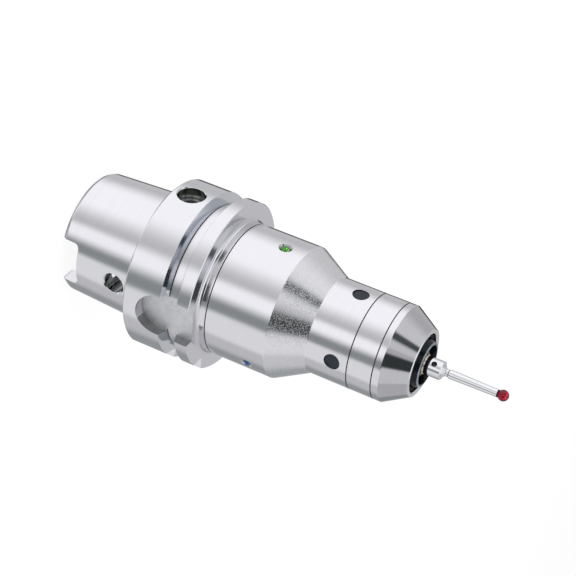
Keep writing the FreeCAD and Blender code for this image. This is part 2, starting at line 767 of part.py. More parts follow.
def make_lamp(name, angle):
    """Turn one lamp, a dome on a collar, on its own radial axis."""
    body = new_body(name)
    root = HOUSING_BORE + " - lamp_collar_gap - lamp_collar_length"
    length = "housing_radius - lamp_tip_depth - (%s)" % root
    sketch = radial_sketch(body, name + "_section", angle, root, LAMP_HEIGHT)
    sketch.setExpression("AttachmentOffset.Rotation.Angle", bound("%s" % angle))
    outline(sketch, [
        ("0", "0"),
        ("0", "lamp_collar_radius"),
        ("lamp_collar_length", "lamp_collar_radius"),
        ("lamp_collar_length", "lamp_radius"),
        (length, "lamp_radius", "lamp_radius - lamp_dome_flat"),
        (length, "0"),
    ])
    feature = body.newObject("PartDesign::Revolution", name + "_turned")
    feature.Profile = sketch
    feature.ReferenceAxis = (sketch, ["H_Axis"])
    feature.Angle = 360


def make_lamps():
    """Make the three lamps, evenly spaced, and the board that carries them."""
    for name, step in (("green_lamp", 0), ("blue_lamp", 120), ("red_lamp", 240)):
        make_lamp(name, "lamp_angle + %d" % step)
    tube("lamp_board", HOUSING_BORE + " - board_edge_clearance",
         HOLDER_RADIUS + " + board_bore_clearance", SPIGOT_TOP, BOARD_TOP)


CELL_BOTTOM = WELL_FLOOR + " + holder_floor + contact_thickness"
CELL_TOP = CELL_BOTTOM + " + cell_length + cell_tip_length"
COVER_BOTTOM = CELL_TOP + " + contact_thickness"
COVER_TOP = COVER_BOTTOM + " + cover_thickness"


def strip_outline(sketch, margin):
    """Draw the outline of the strip that joins the cells, grown by a margin."""
    reach = CELL_OFFSET + " + contact_width / 2 + " + margin
    half = "contact_width / 2 + " + margin
    outline(sketch, [
        ("-(%s)" % reach, "-(%s)" % half),
        (reach, "-(%s)" % half),
        (reach, half),
        ("-(%s)" % reach, half),
    ])


def make_battery_pack():
    """Make the battery holder, its two cells, contact strips, cover and lead pin."""
    holder = new_body("battery_holder")
    disc = plane_sketch(holder, "holder_disc", "XY_Plane", WELL_FLOOR)
    circle(disc, HOLDER_RADIUS)
    pad(holder, "holder_block", disc, "%s - (%s)" % (COVER_BOTTOM, WELL_FLOOR))
    wells = plane_sketch(holder, "cell_circles", "XY_Plane", COVER_BOTTOM)
    for side in ("", "-"):
        circle(wells, "cell_radius + cell_clearance", side + CELL_OFFSET, "0")
    pocket(holder, "cell_wells", wells, "%s - (%s) - holder_floor" % (COVER_BOTTOM, WELL_FLOOR))
    recess = plane_sketch(holder, "bridge_recess_outline", "XY_Plane", COVER_BOTTOM)
    strip_outline(recess, "cell_clearance")
    pocket(holder, "bridge_recess", recess, "contact_thickness")

    for name, side in (("left_cell", "-"), ("right_cell", "")):
        cell = new_body(name)
        base = plane_sketch(cell, name + "_circle", "XY_Plane", CELL_BOTTOM)
        circle(base, "cell_radius", side + CELL_OFFSET, "0")
        pad(cell, name + "_can", base, "cell_length")
        tip = plane_sketch(cell, name + "_tip_circle", "XY_Plane", CELL_BOTTOM + " + cell_length")
        circle(tip, "cell_tip_radius", side + CELL_OFFSET, "0")
        pad(cell, name + "_tip", tip, "cell_tip_length")

    plates = new_body("base_contacts")
    for name, side in (("left_plate", "-"), ("right_plate", "")):
        face = plane_sketch(plates, name + "_circle", "XY_Plane", WELL_FLOOR + " + holder_floor")
        circle(face, "cell_radius - plate_margin", side + CELL_OFFSET, "0")
        pad(plates, name, face, "contact_thickness")

    bridge = new_body("cell_bridge")
    strip = plane_sketch(bridge, "bridge_outline", "XY_Plane", CELL_TOP)
    strip_outline(strip, "0")
    pad(bridge, "bridge_strip", strip, "contact_thickness")

    cover = new_body("battery_cover")
    plate = plane_sketch(cover, "cover_circle", "XY_Plane", COVER_BOTTOM)
    circle(plate, HOLDER_RADIUS)
    pad(cover, "cover_plate", plate, "cover_thickness")

    pin = new_body("lead_pin")
    end = plane_sketch(pin, "lead_pin_circle", "XY_Plane", COVER_TOP)
    circle(end, "lead_pin_radius")
    pad(pin, "lead_pin_rod", end, "%s - (%s)" % (INSERT_BOTTOM, COVER_TOP))


def radial_peg(body, name, angle, inner, outer, height, radius):
    """Make a round peg that points out from the axis."""
    sketch = radial_sketch(body, name + "_circle", angle, inner, height)
    circle(sketch, radius)
    return pad(body, name, sketch, "%s - (%s)" % (outer, inner))


def make_centring_screws():
    """Make the four centring screws and the plugs that cover them."""
    plug_top = "barrel_radius - plug_recess"
    plug_bottom = plug_top + " - plug_thickness"
    radius = "screw_hole_radius - screw_clearance"
    plugs = new_body("screw_plugs")
    peg = radial_peg(plugs, "plug", "270", plug_bottom, plug_top, SCREW_HEIGHT, radius)
    pattern(plugs, "plugs", [peg], 4)

    screws = new_body("centring_screws")
    peg = radial_peg(screws, "screw", "270", INSERT_RADIUS, plug_bottom, SCREW_HEIGHT, radius)
    socket = radial_sketch(screws, "socket_outline", "270", plug_bottom, SCREW_HEIGHT)
    corner = "screw_socket_width / 2 / cos(30)"
    points = [("(%s) * cos(%d)" % (corner, turn_angle), "(%s) * sin(%d)" % (corner, turn_angle))
              for turn_angle in (30, 150, 210, 330)]
    points.insert(1, ("0", corner))
    points.insert(4, ("0", "-(%s)" % corner))
    outline(socket, points)
    recess = pocket(screws, "socket", socket, "screw_socket_depth")
    pattern(screws, "screws", [peg, recess], 4)


def make_insert():
    """Make the insert that carries the sensor, with its preload plug."""
    turned("sensor_insert", [
        (INSERT_BORE, INSERT_BOTTOM),
        (INSERT_RADIUS, INSERT_BOTTOM),
        (INSERT_RADIUS, INSERT_STEP),
        (INSERT_NOSE, INSERT_STEP),
        (INSERT_NOSE, INSERT_FRONT),
        (INSERT_LIP, INSERT_FRONT),
        (INSERT_LIP, INSERT_FRONT + " - insert_lip_thickness"),
        (INSERT_BORE, INSERT_FRONT + " - insert_lip_thickness"),
    ])
    rim = INSERT_BORE + " - fit_clearance"
    plug = turned("preload_plug", [
        ("0", INSERT_BOTTOM),
        (rim, INSERT_BOTTOM),
        (rim, PRELOAD_TOP),
        ("0", PRELOAD_TOP),
    ])
    holes = plane_sketch(plug, "key_hole_circles", "XY_Plane", PRELOAD_TOP)
    for side in ("", "-"):
        circle(holes, "lead_pin_radius", side + "key_hole_offset", "0")
    pocket(plug, "key_holes", holes, "key_hole_depth")


def make_sleeve():
    """Make the sleeve that slides in the insert, with the pins of the gimbal ring."""
    sleeve = turned("slide_sleeve", [
        (SLEEVE_FLOOR_BORE, SLEEVE_BOTTOM),
        (SLEEVE_RADIUS, SLEEVE_BOTTOM),
        (SLEEVE_RADIUS, SLEEVE_TOP),
        (SLEEVE_BORE, SLEEVE_TOP),
        (SLEEVE_BORE, SLEEVE_FLOOR),
        (SLEEVE_FLOOR_BORE, SLEEVE_FLOOR),
    ])
    hole = radial_hole(sleeve, "pin_hole", "0", SLEEVE_RADIUS, PIVOT_HEIGHT,
                       "pin_radius + fit_clearance", "sleeve_wall + pin_radius")
    pattern(sleeve, "pin_holes", [hole], 2)
    pins = new_body("sleeve_pins")
    peg = radial_peg(pins, "sleeve_pin", "0", GIMBAL_INNER + " + pin_inset",
                     SLEEVE_RADIUS + " - slide_clearance", PIVOT_HEIGHT, "pin_radius")
    pattern(pins, "sleeve_pin_pair", [peg], 2)


def make_gimbal():
    """Make the gimbal ring with its two pairs of pin holes."""
    bottom = PIVOT_HEIGHT + " - gimbal_height / 2"
    top = PIVOT_HEIGHT + " + gimbal_height / 2"
    ring = tube("gimbal_ring", GIMBAL_OUTER, GIMBAL_INNER, bottom, top)
    hole = radial_hole(ring, "gimbal_pin_hole", "0", GIMBAL_OUTER, PIVOT_HEIGHT,
                       "pin_radius + pin_clearance", "gimbal_width + pin_radius")
    pattern(ring, "gimbal_pin_holes", [hole], 4)


def make_stylus_holder():
    """Make the stylus holder, its pins and the disc that opens the contacts."""
    thread_end = HOLDER_TOP + " - holder_thread_depth"
    holder = turned("stylus_holder", [
        ("0", HEAD_BOTTOM),
        (HEAD_RADIUS, HEAD_BOTTOM),
        (HEAD_RADIUS, HEAD_TOP),
        ("holder_shaft_radius", HEAD_TOP),
        ("holder_shaft_radius", HOLDER_TOP),
        ("holder_thread_radius", HOLDER_TOP),
        ("holder_thread_radius", thread_end),
        ("0", thread_end),
    ])
    hole = radial_hole(holder, "holder_pin_hole", "90", HEAD_RADIUS, PIVOT_HEIGHT,
                       "pin_radius + fit_clearance", "holder_pin_depth")
    pattern(holder, "holder_pin_holes", [hole], 2)
    pins = new_body("holder_pins")
    peg = radial_peg(pins, "holder_pin", "90", HEAD_RADIUS + " - holder_pin_depth",
                     GIMBAL_OUTER + " - pin_inset", PIVOT_HEIGHT, "pin_radius")
    pattern(pins, "holder_pin_pair", [peg], 2)
    tube("contact_disc", INSERT_LIP + " - disc_gap", "holder_shaft_radius + fit_clearance",
         DISC_BOTTOM, DISC_TOP)


def make_contacts():
    """Make the three leaf contacts and the ring that holds them down."""
    leaves = new_body("contact_leaves")
    leaf = plane_sketch(leaves, "leaf_outline", "XZ_Plane")
    low = DISC_TOP + " + leaf_gap"
    bend_outer = INSERT_LIP + " - leaf_lip_gap"
    bend_inner = bend_outer + " - leaf_slope_width"
    tip = bend_inner + " - leaf_tip_length"
    root = INSERT_NOSE + " - leaf_root_gap"
    outline(leaf, [
        (tip, low),
        (bend_inner, low),
        (bend_outer, INSERT_FRONT),
        (root, INSERT_FRONT),
        (root, LEAF_TOP),
        (bend_outer, LEAF_TOP),
        (bend_inner, low + " + leaf_thickness"),
        (tip, low + " + leaf_thickness"),
    ])
    strip = pad(leaves, "leaf", leaf, "leaf_width")
    strip.Midplane = True
    pattern(leaves, "leaves", [strip], 3)
    tube("contact_ring", INSERT_NOSE, INSERT_NOSE + " - contact_ring_width", LEAF_TOP,
         LEAF_TOP + " + contact_ring_thickness")


def make_diaphragm():
    """Make the folded rubber diaphragm and the parts that clamp its two edges."""
    rim = CAP_BORE + " - fit_clearance"
    throat = CAP_MOUTH + " - fit_clearance"
    shaft = "holder_shaft_radius + fit_clearance"
    seat_top = HOLDER_TOP + " - collar_thickness"
    valley = CAP_TOP + " - rubber_valley_depth"
    ridge = CAP_TOP + " + rubber_ridge_rise"
    recess = CAP_TOP + " - rubber_recess_depth"
    turned("diaphragm", [
        (CLAMP_RING_BORE, RIM_BOTTOM),
        (rim, RIM_BOTTOM),
        (rim, RIM_TOP),
        (throat, RIM_TOP),
        (throat, valley),
        (VALLEY_RADIUS, valley, "rubber_thickness / 2"),
        (RIDGE_RADIUS + " + rubber_ridge_width / 2", ridge, "rubber_ridge_round"),
        (RIDGE_RADIUS + " - rubber_ridge_width / 2", ridge, "rubber_ridge_round"),
        (RECESS_RADIUS, recess),
        ("rubber_seat_radius", recess),
        ("rubber_seat_radius", seat_top),
        (shaft, seat_top),
        (shaft, recess + " - rubber_thickness"),
        (RECESS_RADIUS + " + rubber_thickness", recess + " - rubber_thickness"),
        (RIDGE_RADIUS, ridge + " - 2 * rubber_thickness"),
        (VALLEY_RADIUS + " - rubber_thickness / 2", valley + " - rubber_thickness"),
        (CLAMP_RING_BORE, valley + " - rubber_thickness"),
    ])
    tube("clamp_ring", rim, CLAMP_RING_BORE, CLAMP_BOTTOM, RIM_BOTTOM)
    tube("diaphragm_collar", "collar_radius", shaft, seat_top, HOLDER_TOP)


def make_stylus():
    """Make the stylus hub, its stem and the ruby ball."""
    stub_radius = "holder_thread_radius - hub_stub_clearance"
    stub_end = HOLDER_TOP + " - hub_stub_length"
    hub = turned("stylus_hub", [
        ("0", stub_end),
        (stub_radius, stub_end),
        (stub_radius, HOLDER_TOP),
        ("hub_radius", HOLDER_TOP),
        ("hub_radius", HUB_TOP + " - hub_chamfer"),
        ("hub_radius - hub_chamfer", HUB_TOP),
        ("hub_shoulder_radius", HUB_TOP),
        ("hub_shoulder_radius - hub_shoulder_taper", HUB_NECK_BOTTOM),
        ("hub_neck_radius", HUB_NECK_BOTTOM + " + hub_neck_length / 2"),
        ("hub_neck_radius", STEM_BOTTOM),
        ("0", STEM_BOTTOM),
    ])
    radial_hole(hub, "cross_hole", "hub_cross_hole_angle", "hub_radius",
                HOLDER_TOP + " + hub_cross_hole_height", "hub_cross_hole_radius",
                "2 * hub_radius")
    stem = turned("stylus_stem", [
        ("0", STEM_BOTTOM),
        ("stem_root_radius - stem_chamfer", STEM_BOTTOM),
        ("stem_root_radius", STEM_BOTTOM + " + stem_chamfer"),
        ("stem_tip_radius", STEM_TOP),
        ("0", STEM_TOP),
    ])
    seat = plane_sketch(stem, "ball_seat_section", "XZ_Plane")
    half_disc(seat, "ball_radius + ball_seat_clearance")
    cup = stem.newObject("PartDesign::Groove", "ball_seat")
    cup.Profile = seat
    cup.ReferenceAxis = (seat, ["V_Axis"])
    cup.Angle = 360

    ball = new_body("ruby_ball")
    section = plane_sketch(ball, "ball_section", "XZ_Plane")
    half_disc(section, "ball_radius")
    round_ball = ball.newObject("PartDesign::Revolution", "ball_turned")
    round_ball.Profile = section
    round_ball.ReferenceAxis = (section, ["V_Axis"])
    round_ball.Angle = 360


def half_disc(sketch, radius):
    """Draw the half disc that turns into a ball on the stylus axis."""
    centre = V(0, value(BALL_HEIGHT), 0)
    size = value(radius)
    arc = Part.ArcOfCircle(Part.Circle(centre, V(0, 0, 1), size), -math.pi / 2, math.pi / 2)
    bow = sketch.addGeometry(arc)
    chord = sketch.addGeometry(Part.LineSegment(centre + V(0, size, 0), centre - V(0, size, 0)))
    add_constraints(sketch, [
        (Sketcher.Constraint("Coincident", bow, Point.END, chord, Point.START), None),
        (Sketcher.Constraint("Coincident", chord, Point.END, bow, Point.START), None),
        (Sketcher.Constraint("PointOnObject", bow, Point.CENTRE, Line.V_AXIS), None),
        (Sketcher.Constraint("PointOnObject", bow, Point.END, Line.V_AXIS), None),
        (Sketcher.Constraint("PointOnObject", bow, Point.START, Line.V_AXIS), None),
        (Sketcher.Constraint("Radius", bow, size), radius),
        (Sketcher.Constraint("DistanceY", -1, Point.START, bow, Point.CENTRE, centre.y), BALL_HEIGHT),
    ])


def make_spring(name, radius, wire, bottom, top, turns):
    """Wind a square-wire compression spring that fills the space between two heights."""
    body = new_body(name)
    sketch = plane_sketch(body, name + "_wire", "XZ_Plane")
    low = "%s + spring_end_clearance" % bottom
    high = "%s + 2 * %s" % (low, wire)
    inner = "%s - %s" % (radius, wire)
    outer = "%s + %s" % (radius, wire)
    outline(sketch, [(inner, low), (outer, low), (outer, high), (inner, high)])
    coil = body.newObject("PartDesign::AdditiveHelix", name + "_coil")
    coil.Profile = sketch
    coil.ReferenceAxis = (sketch, ["V_Axis"])
    coil.Mode = "height-turns-angle"
    gap = "(%s) - (%s) - 2 * (%s) - 2 * spring_end_clearance" % (top, bottom, wire)
    coil.setExpression("Height", bound(gap))
    coil.setExpression("Turns", bound(turns))


def make_springs():
    """Wind the spring that pushes the sleeve and the one that centres the holder."""
    make_spring("push_spring", PUSH_SPRING_RADIUS, "push_spring_wire",
                PRELOAD_TOP, SLEEVE_BOTTOM, "push_spring_turns")
    make_spring("centring_spring", CENTRING_SPRING_RADIUS, "centring_spring_wire",
                SLEEVE_FLOOR, HEAD_BOTTOM, "centring_spring_turns")


def check_document():
    """Stop if a feature failed or a sub-part has no valid shape."""
    document.recompute()
    for item in document.Objects:
        states = {"Invalid", "Error"} & set(item.State)
        if states:
            raise RuntimeError("%s is %s" % (item.Name, ", ".join(sorted(states))))
    for name, body in nodes.items():
        if body.Shape.isNull() or not body.Shape.isValid():
            raise RuntimeError(name + " has no valid shape")


def write_parts():
    """Write each sub-part's shape to its own file."""
    os.makedirs("parts", exist_ok=True)
    for name, body in nodes.items():
        body.Shape.exportStep(os.path.join("parts", name + ".step"))


fill_sheet()
make_shank()
make_housing()
make_ring_and_cap()
make_seal("housing_seal", SEAL_HEIGHT, "spigot_radius - seal_groove_depth", "seal_wire_radius")
make_cap_seal()
make_lamps()
make_battery_pack()
make_centring_screws()
make_insert()
make_sleeve()
make_gimbal()
make_stylus_holder()
make_contacts()
make_diaphragm()
make_stylus()
make_springs()
check_document()
write_parts()
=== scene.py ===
"""Looks of the three-dimensional edge finder: turned steel, rubber, lamps and a ruby ball.

Sizes are in millimetres in the classes and in metres in the scene. Heights run along the
tool axis from the end of the shank, and angles go round it from +X towards +Y.
"""
import logging
import math
from collections.abc import Callable
from dataclasses import dataclass, field
from enum import Enum

import bmesh
import bpy
from mathutils import Matrix, Vector


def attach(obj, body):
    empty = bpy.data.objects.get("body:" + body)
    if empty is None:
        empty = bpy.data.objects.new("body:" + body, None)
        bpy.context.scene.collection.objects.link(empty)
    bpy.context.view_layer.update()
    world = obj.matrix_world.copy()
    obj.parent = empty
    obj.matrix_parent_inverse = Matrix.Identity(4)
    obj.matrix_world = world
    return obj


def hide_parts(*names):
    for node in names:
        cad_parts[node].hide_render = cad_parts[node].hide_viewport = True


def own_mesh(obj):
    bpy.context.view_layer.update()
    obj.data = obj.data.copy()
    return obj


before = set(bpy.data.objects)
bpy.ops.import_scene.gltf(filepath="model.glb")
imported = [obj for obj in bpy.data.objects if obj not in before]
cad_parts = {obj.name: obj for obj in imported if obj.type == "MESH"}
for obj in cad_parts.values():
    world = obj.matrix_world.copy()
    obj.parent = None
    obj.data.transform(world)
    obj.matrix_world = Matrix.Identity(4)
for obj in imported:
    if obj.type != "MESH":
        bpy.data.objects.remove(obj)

MM = 0.001
TINY = 1e-6
SLACK = 0.01
FINE_STEPS = 256
TURNED_STEPS = 192
HUB_STEPS = 128
STEM_STEPS = 96
SMALL_STEPS = 64
CREASE = 28.0
LENS_CREASE = 40.0
JOINT_RADIUS = 17.4
WHITE = (1.0, 1.0, 1.0)
LOG = logging.getLogger("edge_finder")
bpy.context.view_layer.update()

Corner = tuple[float, ...]
Corners = tuple[Corner, ...]
Bores = tuple[tuple[float, ...], ...]
Color = tuple[float, float, float]
Outline = list[tuple[float, float]]


class Body(Enum):
    """The rigid bodies that the scene's own pieces ride on."""

    CASE = "case"
    STYLUS = "stylus"


class Slot(Enum):
    """The record's material slots, which are handed to the scene's own pieces but not set on
    them.
    """

    GROUND_STEEL = "ground_steel"
    POLISHED_STEEL = "polished_steel"
    DARK_PLUG = "dark_plug"
    RUBBER = "rubber"
    GREEN_LENS = "green_lens"
    BLUE_LENS = "blue_lens"
    RED_LENS = "red_lens"
    RUBY = "ruby"


class NodeBench:
    """A small bench for wiring a node tree."""

    MIX_FIRST, MIX_SECOND, MIX_RESULT = 6, 7, 2

    def __init__(self, tree: bpy.types.NodeTree) -> None:
        """Start with an empty tree.

        Args:
            tree: the node tree to fill.
        """
        self.tree = tree
        tree.nodes.clear()

    def feed(self, node: bpy.types.Node, sockets: dict) -> None:
        """Fill a node's inputs.

        Args:
            node: the node.
            sockets: input values or output sockets, by input name or number.
        """
        for key, given in sockets.items():
            if isinstance(given, bpy.types.NodeSocket):
                self.tree.links.new(given, node.inputs[key])
            else:
                node.inputs[key].default_value = given

    def add(self, kind: str, sockets: dict | None = None, **settings: object) -> bpy.types.Node:
        """Add a node.

        Args:
            kind: the node's type name.
            sockets: input values or output sockets, by input name or number.
            settings: the node's own properties.

        Returns:
            The new node.
        """
        node = self.tree.nodes.new(kind)
        for name, setting in settings.items():
            setattr(node, name, setting)
        self.feed(node, sockets or {})
        return node

    def place(self) -> bpy.types.NodeSocket:
        """Return the place in the object's own coordinates."""
        return self.add("ShaderNodeTexCoord").outputs["Object"]

    def split(self, vector: bpy.types.NodeSocket) -> bpy.types.bpy_prop_collection:
        """Return a vector's three parts."""
        return self.add("ShaderNodeSeparateXYZ", {0: vector}).outputs

    def math(self, operation: str, *terms: object) -> bpy.types.NodeSocket:
        """Add one sum.

        Args:
            operation: the Math node's operation.
            terms: its numbers or sockets.

        Returns:
            The socket that holds the answer.
        """
        return self.add("ShaderNodeMath", dict(enumerate(terms)), operation=operation).outputs[0]

    def rise(self, number: bpy.types.NodeSocket, start: float,
             end: float) -> bpy.types.NodeSocket:
        """Return a smooth step from 0 at the start to 1 at the end."""
        return self.add("ShaderNodeMapRange", {0: number, 1: start, 2: end},
                        interpolation_type="SMOOTHSTEP").outputs[0]

    def noise(self, place: bpy.types.NodeSocket, grain_mm: float, detail: float = 2.0,
              rough: float = 0.5) -> bpy.types.NodeSocket:
        """Add a noise texture.

        Args:
            place: where it is looked up.
            grain_mm: about how wide a grain is.
            detail: how many finer layers it has.
            rough: how strong they are.

        Returns:
            The noise's socket.
        """
        return self.add("ShaderNodeTexNoise", {
            "Vector": place, "Scale": 1 / (grain_mm * MM), "Detail": detail,
            "Roughness": rough}).outputs[0]

    def ramp(self, factor: bpy.types.NodeSocket,
             stops: list[tuple[float, Color]]) -> bpy.types.NodeSocket:
        """Turn a number into a colour.

        Args:
            factor: the number, from 0 to 1.
            stops: places from 0 to 1 and their colours, in order.

        Returns:
            The colour socket.
        """
        node = self.add("ShaderNodeValToRGB", {0: factor})
        elements = node.color_ramp.elements
        while len(elements) < len(stops):
            elements.new(0.5)
        for element, (place, color) in zip(elements, stops):
            element.position = place
            element.color = (*color, 1.0)
        return node.outputs[0]

    def mix(self, factor: object, first: object, second: object,
            blend: str = "MIX") -> bpy.types.NodeSocket:
        """Mix two colours.

        Args:
            factor: how much of the second.
            first: a colour or socket.
            second: a colour or socket.
            blend: the way they are mixed.

        Returns:
            The mixed colour's socket.
        """
        node = self.add("ShaderNodeMix", {0: factor}, data_type="RGBA", blend_type=blend)
        for number, given in ((self.MIX_FIRST, first), (self.MIX_SECOND, second)):
            plain = isinstance(given, tuple)
            self.feed(node, {number: (*given, 1.0) if plain else given})
        return node.outputs[self.MIX_RESULT]

    def choose(self, factor: object, first: bpy.types.Node,
               second: bpy.types.Node) -> bpy.types.Node:
        """Return a mix of two shaders, where 1 means the second."""
        return self.add("ShaderNodeMixShader", {0: factor, 1: first.outputs[0],
                                                2: second.outputs[0]})

    def bump(self, shader: bpy.types.Node, height: bpy.types.NodeSocket, depth_mm: float,
             strength: float) -> None:
        """Raise a shader's surface by a height of 0 to 1.

        Args:
            shader: the shader.
            height: the height's socket.
            depth_mm: how high 1 is.
            strength: how much of it is felt.
        """
        node = self.add("ShaderNodeBump", {"Height": height, "Strength": strength,
                                           "Distance": depth_mm * MM})
        self.feed(shader, {"Normal": node.outputs[0]})


@dataclass(frozen=True)
class Finish:
    """One surface finish; each kind paints its own nodes."""

    name: str

    def material(self) -> bpy.types.Material:
        """Make the material once and hand it out after that.

        Returns:
            The finished material.
        """
        made = bpy.data.materials.get(self.name)
        if made is None:
            made = bpy.data.materials.new(self.name)
            made.use_nodes = True
            bench = NodeBench(made.node_tree)
            shader = bench.add("ShaderNodeBsdfPrincipled")
            bench.add("ShaderNodeOutputMaterial", {0: shader.outputs[0]})
            self.paint(bench, shader)
        return made

    def paint(self, bench: NodeBench, shader: bpy.types.Node) -> None:
        """Wire the finish into its shader; each kind does its own."""
        raise NotImplementedError


@dataclass(frozen=True)
class TurnedSteel(Finish):
    """Steel with fine rings left by the lathe or the grinding wheel."""

    tint: Color = (0.79, 0.79, 0.825)
    roughness: float = 0.12
    ring_mm: float = 0.16
    ring_depth_mm: float = 0.002
    ring_shade: float = 0.93
    ring_strength: float = 0.5
    anisotropy: float = 0.35
    groove_turn: float = 0.25
    cloud_mm: float = 6.0
    cloud_blur: float = 0.05
    grit_mm: float = 0.0
    grit_blur: float = 0.0
    grit_shade: float = 0.99
    grit_range: tuple[float, float] = (0.42, 0.60)
    crease_mm: float = 1.6
    crease_shade_color: Color = (0.16, 0.16, 0.17)

    def paint(self, bench: NodeBench, shader: bpy.types.Node) -> None:
        """Wire rings and painted crease shade into the tint, and clouds and grit into the
        roughness.

        Args:
            bench: the material's node bench.
            shader: its shader.
        """
        place = bench.place()
        parts = bench.split(place)
        flat = bench.add("ShaderNodeCombineXYZ", {0: parts[0], 1: parts[1]}).outputs[0]
        radius = bench.add("ShaderNodeVectorMath", {0: flat}, operation="LENGTH").outputs[1]
        along = bench.add("ShaderNodeCombineXYZ", {0: radius, 1: parts[2]}).outputs[0]
        rings = bench.noise(along, self.ring_mm, 3.0, 0.6)
        dark = tuple(self.ring_shade * part for part in self.tint)
        shade = bench.ramp(rings, [(0.35, dark), (0.60, self.tint)])
        # Painted shade: ambient occlusion darkens the tint in creases and corners.
        corner = bench.add("ShaderNodeAmbientOcclusion", {"Distance": self.crease_mm * MM},
                           samples=6, inside=False).outputs["AO"]
        crease_shade = bench.ramp(corner, [(0.30, self.crease_shade_color), (0.85, WHITE)])
        shade = bench.mix(1.0, shade, crease_shade, "MULTIPLY")
        cloud = bench.noise(place, self.cloud_mm, 3.0)
        rough = bench.math("MULTIPLY_ADD", cloud, self.cloud_blur,
                           self.roughness - self.cloud_blur / 2)
        if self.grit_mm:
            speck = bench.rise(bench.noise(place, self.grit_mm, 1.0), *self.grit_range)
            rough = bench.math("MULTIPLY_ADD", speck, self.grit_blur, rough)
            dull = bench.ramp(speck, [(0.0, (self.grit_shade,) * 3), (1.0, WHITE)])
            shade = bench.mix(1.0, shade, dull, "MULTIPLY")
        tangent = bench.add("ShaderNodeTangent", direction_type="RADIAL", axis="Z")
        bench.feed(shader, {"Base Color": shade, "Roughness": rough, "Metallic": 1.0,
                            "Anisotropic": self.anisotropy, "Tangent": tangent.outputs[0],
                            "Anisotropic Rotation": self.groove_turn})
        bench.bump(shader, rings, self.ring_depth_mm, self.ring_strength)


@dataclass(frozen=True)
class DrawnSteel(Finish):
    """Polished round steel with fine drawing lines along the tool axis, whose dark colour is a
    painted reflection of dark bands.
    """

    tint: Color = (0.86, 0.86, 0.89)
    painted_reflection_line: Color = (0.66, 0.67, 0.69)
    roughness: float = 0.05
    lines_round: int = 17
    line_blur: float = 0.06
    line_depth_mm: float = 0.001
    line_strength: float = 0.3
    drift_mm: float = 9.0
    drift: float = 1.2

    def paint(self, bench: NodeBench, shader: bpy.types.Node) -> None:
        """Wire lines that depend on the direction from the axis and hardly on the height: drawing
        lines in the bump and roughness, and a painted reflection in the colour.

        Args:
            bench: the material's node bench.
            shader: its shader.
        """
        place = bench.place()
        parts = bench.split(place)
        turn = bench.math("ARCTAN2", parts[1], parts[0])
        shift = bench.math("MULTIPLY", bench.noise(place, self.drift_mm, 1.0), self.drift)
        phase = bench.math("MULTIPLY_ADD", turn, float(self.lines_round), shift)
        lines = bench.math("MULTIPLY_ADD", bench.math("SINE", phase), 0.5, 0.5)
        rough = bench.math("MULTIPLY_ADD", lines, self.line_blur,
                           self.roughness - self.line_blur / 2)
        # Painted reflection: the dark line colour stands in for dark bands mirrored along the
        # stem.
        bench.feed(shader, {"Base Color": bench.ramp(lines, [(0.76, self.tint),
                                                             (0.92, self.painted_reflection_line)]),
                            "Roughness": rough, "Metallic": 1.0})
        bench.bump(shader, lines, self.line_depth_mm, self.line_strength)


@dataclass(frozen=True)
class PlainMetal(Finish):
    """Drawn, plated or polished metal without a turning axis of its own."""

    tint: Color = (0.80, 0.80, 0.82)
    stain: Color = (0.55, 0.55, 0.57)
    stain_mm: float = 2.5
    roughness: float = 0.14
    grain_mm: float = 0.3
    grain_depth_mm: float = 0.003
    grain_blur: float = 0.12
    grain_strength: float = 0.4

    def paint(self, bench: NodeBench, shader: bpy.types.Node) -> None:
        """Wire a cloudy stain and fine scratches.

        Args:
            bench: the material's node bench.
            shader: its shader.
        """
        place = bench.place()
        cloud = bench.noise(place, self.stain_mm, 4.0)
        grain = bench.noise(place, self.grain_mm)
        rough = bench.math("MULTIPLY_ADD", grain, self.grain_blur,
                           self.roughness - self.grain_blur / 3)
        bench.feed(shader, {"Base Color": bench.ramp(cloud, [(0.30, self.stain),
                                                             (0.55, self.tint)]),
                            "Roughness": rough, "Metallic": 1.0})
        bench.bump(shader, grain, self.grain_depth_mm, self.grain_strength)


@dataclass(frozen=True)
class Moulded(Finish):
    """Rubber or plastic with a moulded skin."""

    tint: Color = (0.03, 0.03, 0.035)
    worn: Color = (0.06, 0.06, 0.07)
    worn_mm: float = 3.0
    roughness: float = 0.42
    skin_mm: float = 0.25
    skin_depth_mm: float = 0.01
    skin_blur: float = 0.16
    skin_strength: float = 0.5
    specular: float = 0.5
    coat: float = 0.0
    coat_roughness: float = 0.12

    def paint(self, bench: NodeBench, shader: bpy.types.Node) -> None:
        """Wire a mottled colour, a fine skin and a dull sheen.

        Args:
            bench: the material's node bench.
            shader: its shader.
        """
        place = bench.place()
        cloud = bench.noise(place, self.worn_mm, 4.0)
        skin = bench.noise(place, self.skin_mm, 3.0, 0.6)
        rough = bench.math("MULTIPLY_ADD", skin, self.skin_blur,
                           self.roughness - self.skin_blur / 2)
        bench.feed(shader, {"Base Color": bench.ramp(cloud, [(0.35, self.tint),
                                                             (0.72, self.worn)]),
                            "Roughness": rough, "Specular IOR Level": self.specular,
                            "Coat Weight": self.coat, "Coat Roughness": self.coat_roughness})
        bench.bump(shader, skin, self.skin_depth_mm, self.skin_strength)


